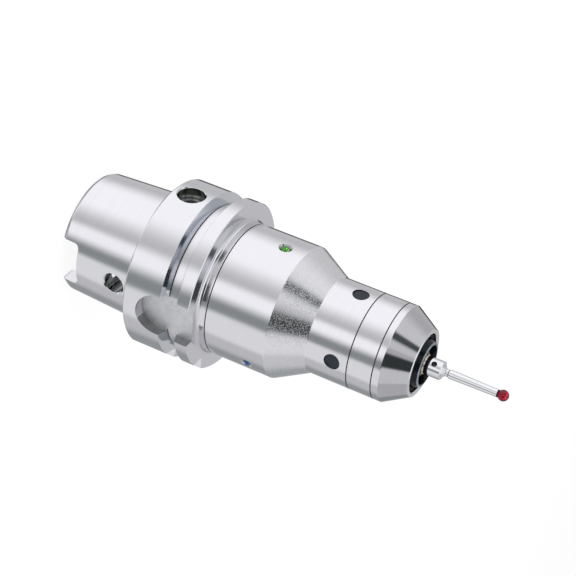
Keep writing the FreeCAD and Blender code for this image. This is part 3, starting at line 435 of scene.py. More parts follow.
@dataclass(frozen=True)
class ClearLens(Finish):
    """Tinted clear plastic or stone that light goes into."""

    tint: Color
    deep: Color
    painted_glint: Color
    sparkle_mm: float = 0.7
    sparkle: float = 0.7
    cloud_mm: float = 1.5
    glow: float = 0.0
    transmission: float = 0.15
    roughness: float = 0.06
    bending: float = 1.45
    gleam: Color = WHITE
    rim: float = 0.0
    rim_blend: float = 0.35
    rim_power: float = 1.5
    rim_shade: float = 0.1

    def paint(self, bench: NodeBench, shader: bpy.types.Node) -> None:
        """Wire painted glints and facets of lighter and darker tint under a smooth skin.

        Args:
            bench: the material's node bench.
            shader: its shader.
        """
        place = bench.place()
        cells = bench.add("ShaderNodeTexVoronoi", {"Vector": place,
                                                   "Scale": 1 / (self.sparkle_mm * MM)})
        tone = bench.math("MULTIPLY_ADD", cells.outputs["Distance"], self.sparkle,
                          bench.noise(place, self.cloud_mm))
        # Painted glints: the palest stop, in small cells, stands in for sparkles of light in the
        # lens.
        color = bench.ramp(tone, [(0.50, self.painted_glint), (0.60, self.tint), (0.82, self.deep)])
        # Painted shade: the colour darkens towards the rim, where the surface turns away from the
        # view.
        if self.rim:
            facing = bench.add("ShaderNodeLayerWeight", {0: self.rim_blend}).outputs["Facing"]
            edge = bench.math("MULTIPLY", bench.math("POWER", facing, self.rim_power), self.rim)
            color = bench.mix(edge, color, tuple(self.rim_shade * part for part in self.deep))
        bench.feed(shader, {"Base Color": color, "Roughness": self.roughness,
                            "Transmission Weight": self.transmission, "IOR": self.bending,
                            "Specular Tint": (*self.gleam, 1.0)})
        if self.glow:
            bench.feed(shader, {"Emission Color": color, "Emission Strength": self.glow})


GROUND_TAPER = TurnedSteel("ground_taper_steel", roughness=0.15, ring_mm=0.10, crease_mm=2.0)
# Partly painted shade: the groove's flanks are a little darker and bluer than the taper, and they
# are also smoother.
SHADED_GROOVE_STEEL = TurnedSteel("groove_flank_shaded_steel", tint=(0.74, 0.76, 0.80), roughness=0.10,
                           ring_mm=0.10)
TURNED_HOUSING = TurnedSteel("turned_housing_steel", roughness=0.15, ring_mm=0.14)
GRITTY_CONE = TurnedSteel("gritty_cone_steel", tint=(0.87, 0.87, 0.90), roughness=0.16,
                          ring_mm=0.2, anisotropy=0.0, grit_mm=0.42, grit_blur=0.20)
TURNED_HUB = TurnedSteel("turned_hub_steel", tint=(0.78, 0.79, 0.82), roughness=0.04,
                         ring_mm=0.10, ring_depth_mm=0.001, anisotropy=0.0, crease_mm=0.5)
DRAWN_STEM = DrawnSteel("drawn_stem_steel")
NOSE_STEEL = TurnedSteel("nose_cap_steel", tint=(0.62, 0.62, 0.645), roughness=0.08,
                         ring_mm=0.12, ring_depth_mm=0.001, anisotropy=0.1)
# Painted shade: near-black steel for bores and hollows, where shade falls.
SHADED_BORE = TurnedSteel("shaded_bore_steel", tint=(0.16, 0.16, 0.17), roughness=0.30,
                        ring_mm=0.3, ring_depth_mm=0.01, crease_mm=3.0)
# Painted shade: dark steel for the walls of pockets and holes, where shade falls.
SHADED_POCKET_WALL = TurnedSteel("pocket_wall_painted_shade", tint=(0.30, 0.32, 0.30), roughness=0.18,
                          ring_mm=0.5, ring_depth_mm=0.004, crease_mm=1.2)
# Painted shade: darker steel in the funnels round the lamps.
SHADED_LAMP_SEAT = TurnedSteel("lamp_seat_painted_shade", tint=(0.58, 0.60, 0.59), ring_mm=0.2,
                        anisotropy=0.0, crease_mm=1.0)
MILLED_FLOOR = PlainMetal("milled_keyway_steel", tint=(0.84, 0.84, 0.86), roughness=0.62,
                          grain_mm=0.8, grain_depth_mm=0.03, stain=(0.74, 0.75, 0.76))
# Painted shade: the keyway walls are much darker than their floor; their grain and roughness are
# the milling.
SHADED_MILLED_WALL = PlainMetal("milled_wall_painted_shade", tint=(0.34, 0.35, 0.35), roughness=0.35,
                         grain_mm=0.4, grain_depth_mm=0.04, stain=(0.26, 0.27, 0.27))
# Dark joint lines in the chamfers between parts, and painted shade in the bottom corner of the
# V-groove.
DARK_JOINT_AND_CORNER_SHADE = Moulded("dark_joint_and_corner_shade", tint=(0.014, 0.008, 0.008), worn=(0.05, 0.022, 0.018),
                     roughness=0.6, specular=0.1)
POLISHED = PlainMetal("polished_steel")
SPRING_WIRE = PlainMetal("spring_wire_steel", tint=(0.62, 0.62, 0.64), roughness=0.25)
TAN_METAL = PlainMetal("tan_collar_metal", tint=(0.70, 0.60, 0.48), roughness=0.2,
                       stain=(0.55, 0.45, 0.34))
GOLD_PLATE = PlainMetal("gold_plated_contact", tint=(0.83, 0.63, 0.28), roughness=0.2,
                        stain=(0.62, 0.44, 0.18))
BLACK_RUBBER = Moulded("black_rubber", tint=(0.001, 0.002, 0.003), worn=(0.003, 0.005, 0.007),
                       roughness=0.16, skin_depth_mm=0.003, specular=0.22)
# A dark finish for the stem's last stretch next to the ball.
DARK_CUP_BAND = Moulded("dark_ball_cup_band", tint=(0.004, 0.005, 0.006), worn=(0.02, 0.02, 0.02),
                     roughness=0.4, specular=0.2)
# Painted highlight: a paler grey rubber on the fold's ridge stands in for the light it catches.
RIDGE_HIGHLIGHT = Moulded("rubber_ridge_painted_highlight", tint=(0.06, 0.08, 0.10),
                       worn=(0.17, 0.20, 0.24), roughness=0.22, skin_depth_mm=0.003,
                       specular=0.9)
SEAL_RUBBER = Moulded("seal_rubber", tint=(0.015, 0.015, 0.017), roughness=0.5)
PLUG_RESIN = Moulded("blue_black_plug_resin", tint=(0.004, 0.008, 0.014),
                     worn=(0.009, 0.015, 0.025), roughness=0.16, skin_depth_mm=0.004,
                     specular=0.32)
CARRIER = Moulded("carrier_plastic_moulded", tint=(0.70, 0.69, 0.64), worn=(0.78, 0.77, 0.73),
                  roughness=0.5)
BOARD_RESIST = Moulded("board_resist", tint=(0.02, 0.20, 0.08), worn=(0.04, 0.27, 0.11),
                       roughness=0.35, coat=0.3)
CELL_WRAP = Moulded("cell_wrap", tint=(0.05, 0.05, 0.06), worn=(0.09, 0.09, 0.10),
                    roughness=0.3, coat=0.4)
GREEN_LENS = ClearLens("green_lens_clear", tint=(0.30, 0.68, 0.12), deep=(0.015, 0.16, 0.01),
                       painted_glint=(0.75, 0.95, 0.55), glow=0.22)
BLUE_LENS = ClearLens("blue_lens_clear", tint=(0.03, 0.16, 0.45), deep=(0.01, 0.05, 0.16),
                      painted_glint=(0.30, 0.60, 0.85), glow=0.05)
RED_LENS = ClearLens("red_lens_clear", tint=(0.70, 0.05, 0.03), deep=(0.25, 0.01, 0.01),
                     painted_glint=(0.90, 0.45, 0.35), glow=0.05)
RUBY = ClearLens("ruby_stone", tint=(0.66, 0.0, 0.035), deep=(0.16, 0.0, 0.012),
                 painted_glint=(0.92, 0.02, 0.10), transmission=0.5, roughness=0.02, bending=1.6,
                 gleam=(1.0, 0.60, 0.66), rim=0.8, sparkle_mm=1.3)


@dataclass
class Section:
    """A closed half section in the plane of radius and height, with rounded corners.

    A corner is a radius and a height, and a rounding where it has one.
    """

    corners: list[Corner]
    arc_steps: int = 6
    points: Outline = field(default_factory=list, init=False)
    soft: dict[tuple[int, int], tuple[float, float]] = field(default_factory=dict, init=False)

    def __post_init__(self) -> None:
        """Work out the points, and the normals along each rounded corner."""
        count = len(self.corners)
        for index, corner in enumerate(self.corners):
            here = Vector(corner[:2])
            if len(corner) < 3:
                self.points.append((here.x, here.y))
                continue
            before = (here - Vector(self.corners[index - 1][:2])).normalized()
            after = (Vector(self.corners[(index + 1) % count][:2]) - here).normalized()
            self.round(here, before, after, corner[2])

    def round(self, here: Vector, before: Vector, after: Vector, radius: float) -> None:
        """Add the points of one rounded corner.

        Args:
            here: the corner.
            before: the direction in which the outline arrives.
            after: the direction in which it leaves.
            radius: the rounding.
        """
        bend = before.angle_signed(after)
        cut = radius * math.tan(abs(bend) / 2)
        inward = (after - before).normalized()
        centre = here + inward * math.hypot(radius, cut)
        start = here - before * cut - centre
        sign = 1.0 if bend < 0 else -1.0
        for step in range(self.arc_steps + 1):
            turned = start.copy()
            turned.rotate(Matrix.Rotation(-bend * step / self.arc_steps, 2))
            spot = centre + turned
            self.points.append((spot.x, spot.y))
            normal = turned.normalized() * sign
            self.soft[self.key(spot.x, spot.y)] = (normal.x, normal.y)

    @staticmethod
    def key(radius: float, height: float) -> tuple[int, int]:
        """Name a point of the section to a thousandth of a millimetre."""
        return round(radius / MM), round(height / MM)


def new_object(name: str, mesh: bpy.types.Mesh) -> bpy.types.Object:
    """Put a mesh in the scene as an object at the origin.

    Args:
        name: the object's name.
        mesh: its mesh.

    Returns:
        The object.
    """
    made = bpy.data.objects.new(name, mesh)
    bpy.context.scene.collection.objects.link(made)
    return made


def closed_mesh(name: str, made: bmesh.types.BMesh) -> bpy.types.Mesh:
    """Turn worked faces into a mesh with outward faces.

    Args:
        name: the mesh's name.
        made: the faces of a closed shape, which are used up.

    Returns:
        The mesh.
    """
    bmesh.ops.recalc_face_normals(made, faces=made.faces)
    mesh = bpy.data.meshes.new(name)
    made.to_mesh(mesh)
    made.free()
    return mesh


def turned_mesh(name: str, section: Section, segments: int) -> bpy.types.Mesh:
    """Turn a section round the tool axis.

    Args:
        name: the mesh's name.
        section: the closed half section, in millimetres.
        segments: how many steps there are round the axis.

    Returns:
        A closed mesh in metres.
    """
    made = bmesh.new()
    rings = []
    for radius, height in section.points:
        if radius < TINY:
            rings.append([made.verts.new((0, 0, height * MM))])
            continue
        angles = (2 * math.pi * step / segments for step in range(segments))
        rings.append([made.verts.new((radius * MM * math.cos(a), radius * MM * math.sin(a),
                                      height * MM)) for a in angles])
    for low, high in zip(rings, rings[1:] + rings[:1]):
        for step in range(segments):
            following = (step + 1) % segments
            ring = [low[step % len(low)], low[following % len(low)],
                    high[following % len(high)], high[step % len(high)]]
            face = list(dict.fromkeys(ring))
            if len(face) > 2:
                made.faces.new(face)
    return closed_mesh(name, made)


def smooth_faces(mesh: bpy.types.Mesh, crease: float | None = None) -> None:
    """Smooth a mesh, and keep the edges past an angle sharp.

    Args:
        mesh: the mesh.
        crease: the angle in degrees, if any edge stays sharp.
    """
    mesh.polygons.foreach_set("use_smooth", [True] * len(mesh.polygons))
    if crease:
        mesh.set_sharp_from_angle(angle=math.radians(crease))


def smooth_turned(mesh: bpy.types.Mesh, section: Section, segments: int) -> None:
    """Give a turned mesh the true normals of its section, also after cuts.

    Args:
        mesh: the mesh, about the tool axis.
        section: the section that it was turned from.
        segments: how many steps there were round the axis.
    """
    flat, aligned = 1e-4, 0.6
    smooth_faces(mesh, CREASE)
    normals = [Vector(corner.vector) for corner in mesh.corner_normals]
    limit = 1.25 * math.pi / segments
    for face in mesh.polygons:
        across = math.hypot(face.normal.x, face.normal.y)
        if across < flat:
            continue
        facing = math.atan2(face.normal.y, face.normal.x)
        spots = [mesh.vertices[index].co for index in face.vertices]
        centre = sum(spots, Vector()) / len(spots)
        sign = 1.0 if centre.x * face.normal.x + centre.y * face.normal.y > 0 else -1.0
        if sign < 0:
            facing += math.pi
        turns = [abs(math.remainder(math.atan2(spot.y, spot.x) - facing, 2 * math.pi))
                 for spot in spots if math.hypot(spot.x, spot.y) > TINY]
        if not turns or max(turns) > limit:
            continue
        for loop, spot in zip(face.loop_indices, spots):
            radius = math.hypot(spot.x, spot.y)
            if radius < TINY:
                normals[loop] = Vector(face.normal)
                continue
            out, up = sign * across, face.normal.z
            soft = section.soft.get(Section.key(radius / MM, spot.z / MM))
            if soft and soft[0] * out + soft[1] * up > aligned:
                out, up = soft
            normals[loop] = Vector((out * spot.x / radius, out * spot.y / radius, up))
    mesh.normals_split_custom_set([normal.normalized() for normal in normals])


def cut_away(target: bpy.types.Object, cutters: list[bpy.types.Object]) -> None:
    """Cut shapes out of an object and throw the cutters away.

    Args:
        target: the object to cut.
        cutters: closed shapes.
    """
    for cutter in cutters:
        change = target.modifiers.new("cut", "BOOLEAN")
        change.operation = "DIFFERENCE"
        change.solver = "EXACT"
        change.object = cutter
    shown = target.evaluated_get(bpy.context.evaluated_depsgraph_get())
    mesh = bpy.data.meshes.new_from_object(shown)
    target.modifiers.clear()
    target.data = mesh
    for cutter in cutters:
        bpy.data.objects.remove(cutter)


def outward(angle: float) -> Vector:
    """Return the direction straight out from the tool axis at an angle in degrees."""
    turn = math.radians(angle)
    return Vector((math.cos(turn), math.sin(turn), 0))


def outward_matrix(angle: float, distance: float, height: float) -> Matrix:
    """Place a shape so that its own z axis points straight out from the tool axis.

    Args:
        angle: degrees round the tool axis.
        distance: millimetres from the tool axis.
        height: millimetres along it.

    Returns:
        The matrix; the shape's own y axis points up the tool axis.
    """
    out = outward(angle)
    side = Vector((-out.y, out.x, 0))
    place = Matrix((side, Vector((0, 0, 1)), out)).transposed().to_4x4()
    place.translation = (out * distance + Vector((0, 0, height))) * MM
    return place


def prism(name: str, outline: Outline, low: float, high: float,
          place: Matrix) -> bpy.types.Object:
    """Raise a closed outline into a solid.

    Args:
        name: the object's name.
        outline: the corners in the shape's own x and y, in millimetres.
        low: where it starts on its own z axis.
        high: where it ends.
        place: where it stands in the scene.

    Returns:
        The solid.
    """
    made = bmesh.new()
    floor, roof = ([made.verts.new(place @ (Vector((x, y, level)) * MM)) for x, y in outline]
                   for level in (low, high))
    made.faces.new(floor)
    made.faces.new(roof)
    for index in range(len(outline)):
        following = (index + 1) % len(outline)
        made.faces.new((floor[index], floor[following], roof[following], roof[index]))
    return new_object(name, closed_mesh(name, made))


def round_outline(radius: float) -> Outline:
    """List the corners of a round outline."""
    turns = (2 * math.pi * (step + 0.5) / SMALL_STEPS for step in range(SMALL_STEPS))
    return [(radius * math.cos(turn), radius * math.sin(turn)) for turn in turns]


def drill(angle: float, height: float, inner: float, outer: float,
          radius: float, mouth: float | None = None) -> bpy.types.Object:
    """Make the cutter of a radial hole, straight or opening outwards.

    Args:
        angle: degrees round the tool axis.
        height: millimetres along it.
        inner: the radius at which it starts.
        outer: the radius at which it ends.
        radius: the hole's own radius at the start.
        mouth: its radius at the end, if it opens.

    Returns:
        The cutter.
    """
    made = prism("drill", round_outline(radius), inner, outer, outward_matrix(angle, 0, height))
    if mouth:
        back = outward_matrix(angle, 0, height).inverted()
        forth = back.inverted()
        for spot in made.data.vertices:
            own = back @ spot.co
            if own.z > (inner + outer) / 2 * MM:
                own.x *= mouth / radius
                own.y *= mouth / radius
                spot.co = forth @ own
    return made


@dataclass(frozen=True)
class Patch:
    """One face of a piece, in millimetres."""

    centre: Vector
    normal: Vector

    @property
    def radius(self) -> float:
        """Return its distance from the tool axis."""
        return math.hypot(self.centre.x, self.centre.y)

    @property
    def height(self) -> float:
        """Return its height along the tool axis."""
        return self.centre.z


class Part:
    """A sub-assembly's shared tools: it makes pieces, dresses them and logs them."""

    def finish(self, piece: bpy.types.Object, finish: Finish, slot: Slot, body: Body,
               *nodes: str) -> None:
        """Dress a piece, set it on its body and let it stand for its CAD nodes.

        Args:
            piece: the new object.
            finish: what it is made of.
            slot: the record's slot; not used.
            body: what it rides on.
            nodes: the CAD nodes that it stands for.
        """
        piece.data.materials.clear()
        piece.data.materials.append(finish.material())
        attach(piece, body.value)
        if nodes:
            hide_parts(*nodes)
        LOG.info("%s: %d faces on %s", piece.name, len(piece.data.polygons), body.value)

    def turned(self, name: str, section: Section, segments: int = TURNED_STEPS,
               cutters: list[bpy.types.Object] | None = None) -> bpy.types.Object:
        """Turn a piece, cut it and smooth it.

        Args:
            name: the piece's name.
            section: its half section.
            segments: steps round the axis.
            cutters: what is cut out of it.

        Returns:
            The piece.
        """
        piece = new_object(name, turned_mesh(name, section, segments))
        if cutters:
            cut_away(piece, cutters)
        smooth_turned(piece.data, section, segments)
        return piece

    def zone(self, piece: bpy.types.Object, finish: Finish,
             inside: Callable[[Patch], bool]) -> None:
        """Give some faces of a piece a finish of their own.

        Args:
            piece: the dressed piece.
            finish: the other finish.
            inside: says of a face whether it takes the finish.
        """
        piece.data.materials.append(finish.material())
        last = len(piece.data.materials) - 1
        for face in piece.data.polygons:
            if inside(Patch(face.center / MM, face.normal)):
                face.material_index = last

    def joint_lines(self, piece: bpy.types.Object, inner: float,
                    *spans: tuple[float, float]) -> None:
        """Darken the small chamfers where a piece meets its neighbours.

        Args:
            piece: the dressed piece.
            inner: the radius that a chamfer lies outside of.
            spans: from which height to which each chamfer goes.
        """
        self.zone(piece, DARK_JOINT_AND_CORNER_SHADE, lambda face: face.radius > inner and any(
            low - SLACK < face.height < high + SLACK for low, high in spans))

    def dress_node(self, node: str, finish: Finish) -> None:
        """Give a CAD node a finish and keep its shape.

        Args:
            node: the node's name.
            finish: what it is made of.
        """
        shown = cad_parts[node]
        shown.data.materials.clear()
        shown.data.materials.append(finish.material())
        LOG.info("%s: dressed as %s", node, finish.name)


@dataclass
class Shank(Part):
    """The hollow taper, the grooved flange and the spigot."""

    length: float = 32.0
    end_radius: float = 22.72
    face_radius: float = 24.32
    end_chamfer: tuple[float, float] = (0.6, 1.2)
    end_round: float = 0.8
    taper_top: float = 30.8
    relief_radius: float = 23.95
    step_radius: float = 24.6
    step: float = 0.3
    flange_radius: float = 31.5
    flange_width: float = 26.0
    flange_chamfers: tuple[float, float] = (0.6, 0.25)
    flange_round: float = 0.1
    groove_centre: float = 49.83
    groove_mouth: float = 6.67
    groove_floor: float = 3.75
    groove_radius: float = 27.5
    groove_line: float = 0.3
    lip_round: float = 0.12
    neck_radius: float = 24.66
    neck_round: float = 1.4
    neck_top: float = 61.5
    joint: float = 0.2
    spigot_radius: float = 20.0
    spigot_top: float = 73.75
    seal_floor: float = 18.8
    seal_heights: tuple[float, float] = (66.7, 68.3)
    hollow: Corners = ((14.5, 73.75), (14.5, 54.75), (0.0, 54.75))
    clamping_bore: Corners = (
        (0.0, 45.0), (8.5, 45.0), (8.5, 28.0), (15.5, 28.0), (15.5, 22.8), (18.6, 19.7),
        (18.6, 11.5), (17.0, 8.7), (17.0, 0.8), (17.8, 0.0),
    )
    dark_radius: float = 17.0
    dark_heights: tuple[float, float] = (28.5, 73.0)
    slot_width: float = 17.4
    slot_depth: float = 7.1
    slot_corner: float = 2.0
    slot_reach: float = 40.0
    front_key: tuple[float, float] = (16.0, 26.6)
    back_key: tuple[float, float] = (18.0, 24.9)
    key_end: float = 37.5
    key_reach: float = 60.0
    key_cut: float = 10.0
    notch_angle: float = 318.0
    notch_tip: float = 27.6
    notch_reach: float = 34.5
    notch_heights: tuple[float, float] = (31.5, 58.15)
    chip_height: float = 39.1
    chip_radius: float = 5.0
    chip_floor: float = 25.5
    chip_ledge: float = 26.8
    chip_bores: Bores = ((-4.6, 3.0, 5.0), (-5.8, -4.0, 3.4), (-0.55, 1.0, 5.0, 6.2))
    access_height: float = 23.1
    access_radius: float = 3.8
    access_bores: Bores = ((8.0, 31.5, 3.8), (23.2, 25.0, 3.8, 5.6))

    def section(self) -> Section:
        """Work out the half section of the whole turned piece.

        Returns:
            The section.
        """
        slope = (self.face_radius - self.end_radius) / self.length
        low = self.groove_centre - self.groove_mouth / 2
        high = self.groove_centre + self.groove_mouth / 2
        floor_low = self.groove_centre - self.groove_floor / 2
        floor_high = self.groove_centre + self.groove_floor / 2
        top = self.length + self.flange_width
        wide = self.flange_radius
        chamfer_in, chamfer_up = self.end_chamfer
        front, back = self.flange_chamfers
        seal_low, seal_high = self.seal_heights
        return Section([
            (self.end_radius - chamfer_in, 0.0),
            (self.end_radius + slope * chamfer_up, chamfer_up, self.end_round),
            (self.end_radius + slope * self.taper_top, self.taper_top),
            (self.relief_radius, self.taper_top), (self.relief_radius, self.length + self.step),
            (self.step_radius, self.length + self.step), (self.step_radius, self.length),
            (wide - front, self.length, self.flange_round),
            (wide, self.length + front, self.flange_round),
            (wide, low, self.lip_round), (self.groove_radius, floor_low),
            (self.groove_radius, floor_low + self.groove_line), (self.groove_radius, floor_high),
            (wide, high, self.lip_round), (wide, top - back),
            (wide - back, top), (self.neck_radius, top, self.neck_round),
            (self.neck_radius, self.neck_top - self.joint),
            (self.neck_radius - self.joint, self.neck_top),
            (self.spigot_radius, self.neck_top), (self.spigot_radius, seal_low),
            (self.seal_floor, seal_low), (self.seal_floor, seal_high),
            (self.spigot_radius, seal_high), (self.spigot_radius, self.spigot_top),
            *self.hollow, *self.clamping_bore,
        ], 8)

    def keyway(self, angle: float, width: float, floor: float) -> bpy.types.Object:
        """Make the cutter of a keyway with a round end.

        Args:
            angle: where it is round the axis.
            width: its width.
            floor: how far its floor is from the axis.

        Returns:
            The cutter.
        """
        half = width / 2
        centre = self.key_end + half
        turns = (math.pi + math.pi * step / 40 for step in range(41))
        outline = [(half * math.cos(turn), half * math.sin(turn)) for turn in turns]
        outline += [(half, self.key_reach - centre), (-half, self.key_reach - centre)]
        return prism("keyway", outline, 0, self.key_cut, outward_matrix(angle, floor, centre))

    def drive_slot(self) -> bpy.types.Object:
        """Make the cutter of both drive slots, with rounded inner corners.

        Returns:
            The cutter, which goes right across the shank.
        """
        half, depth, corner = self.slot_width / 2, self.slot_depth, self.slot_corner
        arc = [math.radians(90 * step / 10) for step in range(11)]
        outline = [(-half, -corner), (half, -corner)]
        outline += [(half - corner + corner * math.cos(turn),
                     depth - corner + corner * math.sin(turn)) for turn in arc]
        outline += [(-half + corner - corner * math.sin(turn),
                     depth - corner + corner * math.cos(turn)) for turn in arc]
        return prism("drive_slot", outline, -self.slot_reach, self.slot_reach,
                     outward_matrix(270, 0, 0))

    def notch(self) -> bpy.types.Object:
        """Make the cutter of the V-shaped orientation notch.

        Returns:
            The cutter.
        """
        reach = self.notch_reach
        half = reach - self.notch_tip
        place = Matrix.Rotation(math.radians(self.notch_angle), 4, "Z")
        return prism("notch", [(self.notch_tip, 0), (reach, half), (reach, -half)],
                     *self.notch_heights, place)

    def in_chip_hole(self, face: Patch) -> bool:
        """Say whether a face lies on the wall of the pocket for the data chip.

        Args:
            face: the face.

        Returns:
            Whether it is part of the wall or of the ledge, and not of the floor.
        """
        across = math.hypot(face.centre.y, face.height - self.chip_height)
        return (across < self.chip_radius + 0.02 and face.centre.x < -self.chip_floor
                and face.radius < self.flange_radius - 0.5
                and (abs(face.normal.x) < 0.5 or face.centre.x > -self.chip_ledge))

    def in_access_hole(self, face: Patch) -> bool:
        """Say whether a face lies in the hole for the clamping key."""
        across = math.hypot(face.centre.x, face.height - self.access_height)
        return across < self.access_radius + 0.03 and face.centre.y < -self.access_bores[0][0]

    def in_keyway(self, face: Patch) -> bool:
        """Say whether a face lies in one of the two keyways.

        Args:
            face: the face.

        Returns:
            Whether it is part of a wall or a floor of theirs.
        """
        width, floor = self.front_key if face.centre.y < 0 else self.back_key
        return (abs(face.centre.x) < width / 2 + SLACK
                and floor - SLACK < abs(face.centre.y) < self.flange_radius - 0.5
                and self.key_end - SLACK < face.height)

    def in_groove(self, face: Patch) -> bool:
        """Say whether a face lies on a flank of the V-groove.

        Args:
            face: the face.

        Returns:
            Whether it is part of a flank, and not of a keyway's wall.
        """
        return (abs(face.normal.z) > 0.8
                and abs(face.height - self.groove_centre) < self.groove_mouth / 2 - 0.05
                and face.radius < self.flange_radius - 0.1 and not self.in_keyway(face))

    def dress(self, piece: bpy.types.Object) -> None:
        """Give the bores, the keyways, the groove's corner and the joint their finishes.

        Args:
            piece: the dressed shank.
        """
        dark_low, dark_high = self.dark_heights
        lowest = self.groove_centre - self.groove_floor / 2
        # Painted shade on the keyway walls.
        self.zone(piece, SHADED_MILLED_WALL, lambda face: self.in_keyway(face)
                  and abs(face.normal.y) < 0.5 and face.normal.z < 0.9)
        self.zone(piece, MILLED_FLOOR, lambda face: self.in_keyway(face)
                  and abs(face.normal.y) > 0.99)
        # Painted shade inside the clamping bore and the hollow above it.
        self.zone(piece, SHADED_BORE, lambda face: face.radius < self.dark_radius
                  and dark_low < face.height < dark_high)
        # Painted shade on the walls of the chip pocket and the key hole.
        self.zone(piece, SHADED_POCKET_WALL, lambda face: self.in_chip_hole(face)
                  or self.in_access_hole(face))
        # Painted shade on the flanks of the V-groove.
        self.zone(piece, SHADED_GROOVE_STEEL, self.in_groove)
        # Painted shade: a dark ring in the corner at the bottom of the V-groove.
        self.zone(piece, DARK_JOINT_AND_CORNER_SHADE, lambda face: abs(face.normal.z) < 0.1
                  and abs(face.radius - self.groove_radius) < 0.02
                  and lowest < face.height < lowest + self.groove_line)
        self.joint_lines(piece, self.neck_radius - 0.31,
                         (self.neck_top - self.joint, self.neck_top))

    def build(self) -> None:
        """Make the shank piece and dress the seal on its spigot."""
        wide = self.flange_radius
        cutters = [self.keyway(270, *self.front_key), self.keyway(90, *self.back_key),
                   self.drive_slot(), self.notch()]
        cutters += [drill(180, self.chip_height, wide + inner, wide + outer, *radii)
                    for inner, outer, *radii in self.chip_bores]
        cutters += [drill(270, self.access_height, *bore) for bore in self.access_bores]
        piece = self.turned("shank", self.section(), FINE_STEPS, cutters)
        self.finish(piece, GROUND_TAPER, Slot.GROUND_STEEL, Body.CASE, "shank_body")
        self.dress(piece)
        self.dress_node("housing_seal", SEAL_RUBBER)


@dataclass
class Housing(Part):
    """The main housing, with its lamp seats, screw holes, plugs and screws."""

    radius: float = 24.66
    barrel: float = 17.76
    bottom: float = 61.5
    cone_bottom: float = 84.85
    cone_top: float = 97.35
    cone_round: float = 1.0
    cone_inner: float = 17.0
    top: float = 113.1
    joint: float = 0.2
    socket_radius: float = 20.05
    front_bore: float = 14.0
    hollow: Corners = ((14.0, 96.4), (12.4, 96.4), (12.4, 95.0), (15.0, 95.0), (20.05, 83.5))
    dark_front: float = 17.3
    dark_back: tuple[float, float] = (23.5, 84.0)
    lamp_height: float = 77.4
    lamp_angles: tuple[float, ...] = (180, 300, 60)
    lamp_bores: Bores = ((18.0, 26.0, 1.6), (23.56, 24.76, 1.6, 2.62))
    lamp_mouth: float = 2.7
    lamp_wall: float = 20.0
    screw_height: float = 107.4
    screw_angles: tuple[float, ...] = (270, 180, 90, 0)
    screw_bore: tuple[float, float, float] = (13.0, 19.0, 3.0)
    plug_seat: float = 16.45
    plug_corners: Corners = ((0.0, 0.0), (2.88, 0.0), (2.88, 0.93, 0.12), (2.35, 0.93, 0.1),
                             (2.15, 0.80), (0.0, 0.74))

    def section(self) -> Section:
        """Work out the half section of the housing.

        Returns:
            The section.
        """
        return Section([
            (self.socket_radius, self.bottom), (self.radius - self.joint, self.bottom),
            (self.radius, self.bottom + self.joint),
            (self.radius, self.cone_bottom, self.cone_round),
            (self.barrel, self.cone_top, self.cone_round),
            (self.barrel, self.top - self.joint), (self.barrel - self.joint, self.top),
            (self.front_bore, self.top), *self.hollow,
        ], 8)

    def in_lamp_seat(self, face: Patch) -> bool:
        """Say whether a face lies in the funnel round one of the lamps.

        Args:
            face: the face.

        Returns:
            Whether it is part of a funnel, and not of the outer wall.
        """
        for out in map(outward, self.lamp_angles):
            aside = face.centre.y * out.x - face.centre.x * out.y
            reach = math.hypot(aside, face.height - self.lamp_height)
            if (face.centre.dot(out) > self.lamp_wall and reach < self.lamp_mouth
                    and face.normal.dot(out) < 0.95):
                return True
        return False

    def in_hollow(self, face: Patch) -> bool:
        """Say whether a face lies inside the housing."""
        wide, top = self.dark_back
        return face.radius < self.dark_front or (face.height < top and face.radius < wide)

    def plug(self, angle: float, index: int) -> None:
        """Make one screw plug: a dished disc with a rolled rim.

        Args:
            angle: where it is round the axis.
            index: its number.
        """
        name = "screw_plug_%d" % index
        section = Section(list(self.plug_corners), 4)
        mesh = turned_mesh(name, section, SMALL_STEPS)
        smooth_turned(mesh, section, SMALL_STEPS)
        mesh.transform(outward_matrix(angle, self.plug_seat, self.screw_height))
        nodes = ("screw_plugs",) if index == 1 else ()
        self.finish(new_object(name, mesh), PLUG_RESIN, Slot.DARK_PLUG, Body.CASE, *nodes)

    def build(self) -> None:
        """Make the housing and its plugs, and dress the screws under them."""
        cutters = [drill(angle, self.lamp_height, *bore)
                   for angle in self.lamp_angles for bore in self.lamp_bores]
        cutters += [drill(angle, self.screw_height, *self.screw_bore)
                    for angle in sorted(self.screw_angles)]
        piece = self.turned("housing", self.section(), FINE_STEPS, cutters)
        self.finish(piece, TURNED_HOUSING, Slot.GROUND_STEEL, Body.CASE, "main_housing")
        self.zone(piece, GRITTY_CONE, lambda face: face.radius > self.cone_inner
                  and self.cone_bottom < face.height < self.cone_top)
        # Painted shade on the inside of the housing.
        self.zone(piece, SHADED_BORE, self.in_hollow)
        # Painted shade in the funnels round the lamps.
        self.zone(piece, SHADED_LAMP_SEAT, self.in_lamp_seat)
        self.joint_lines(piece, JOINT_RADIUS, (self.bottom, self.bottom + self.joint),
                         (self.top - self.joint, self.top))
        for index, angle in enumerate(self.screw_angles, start=1):
            self.plug(angle, index)
        self.dress_node("centring_screws", SPRING_WIRE)


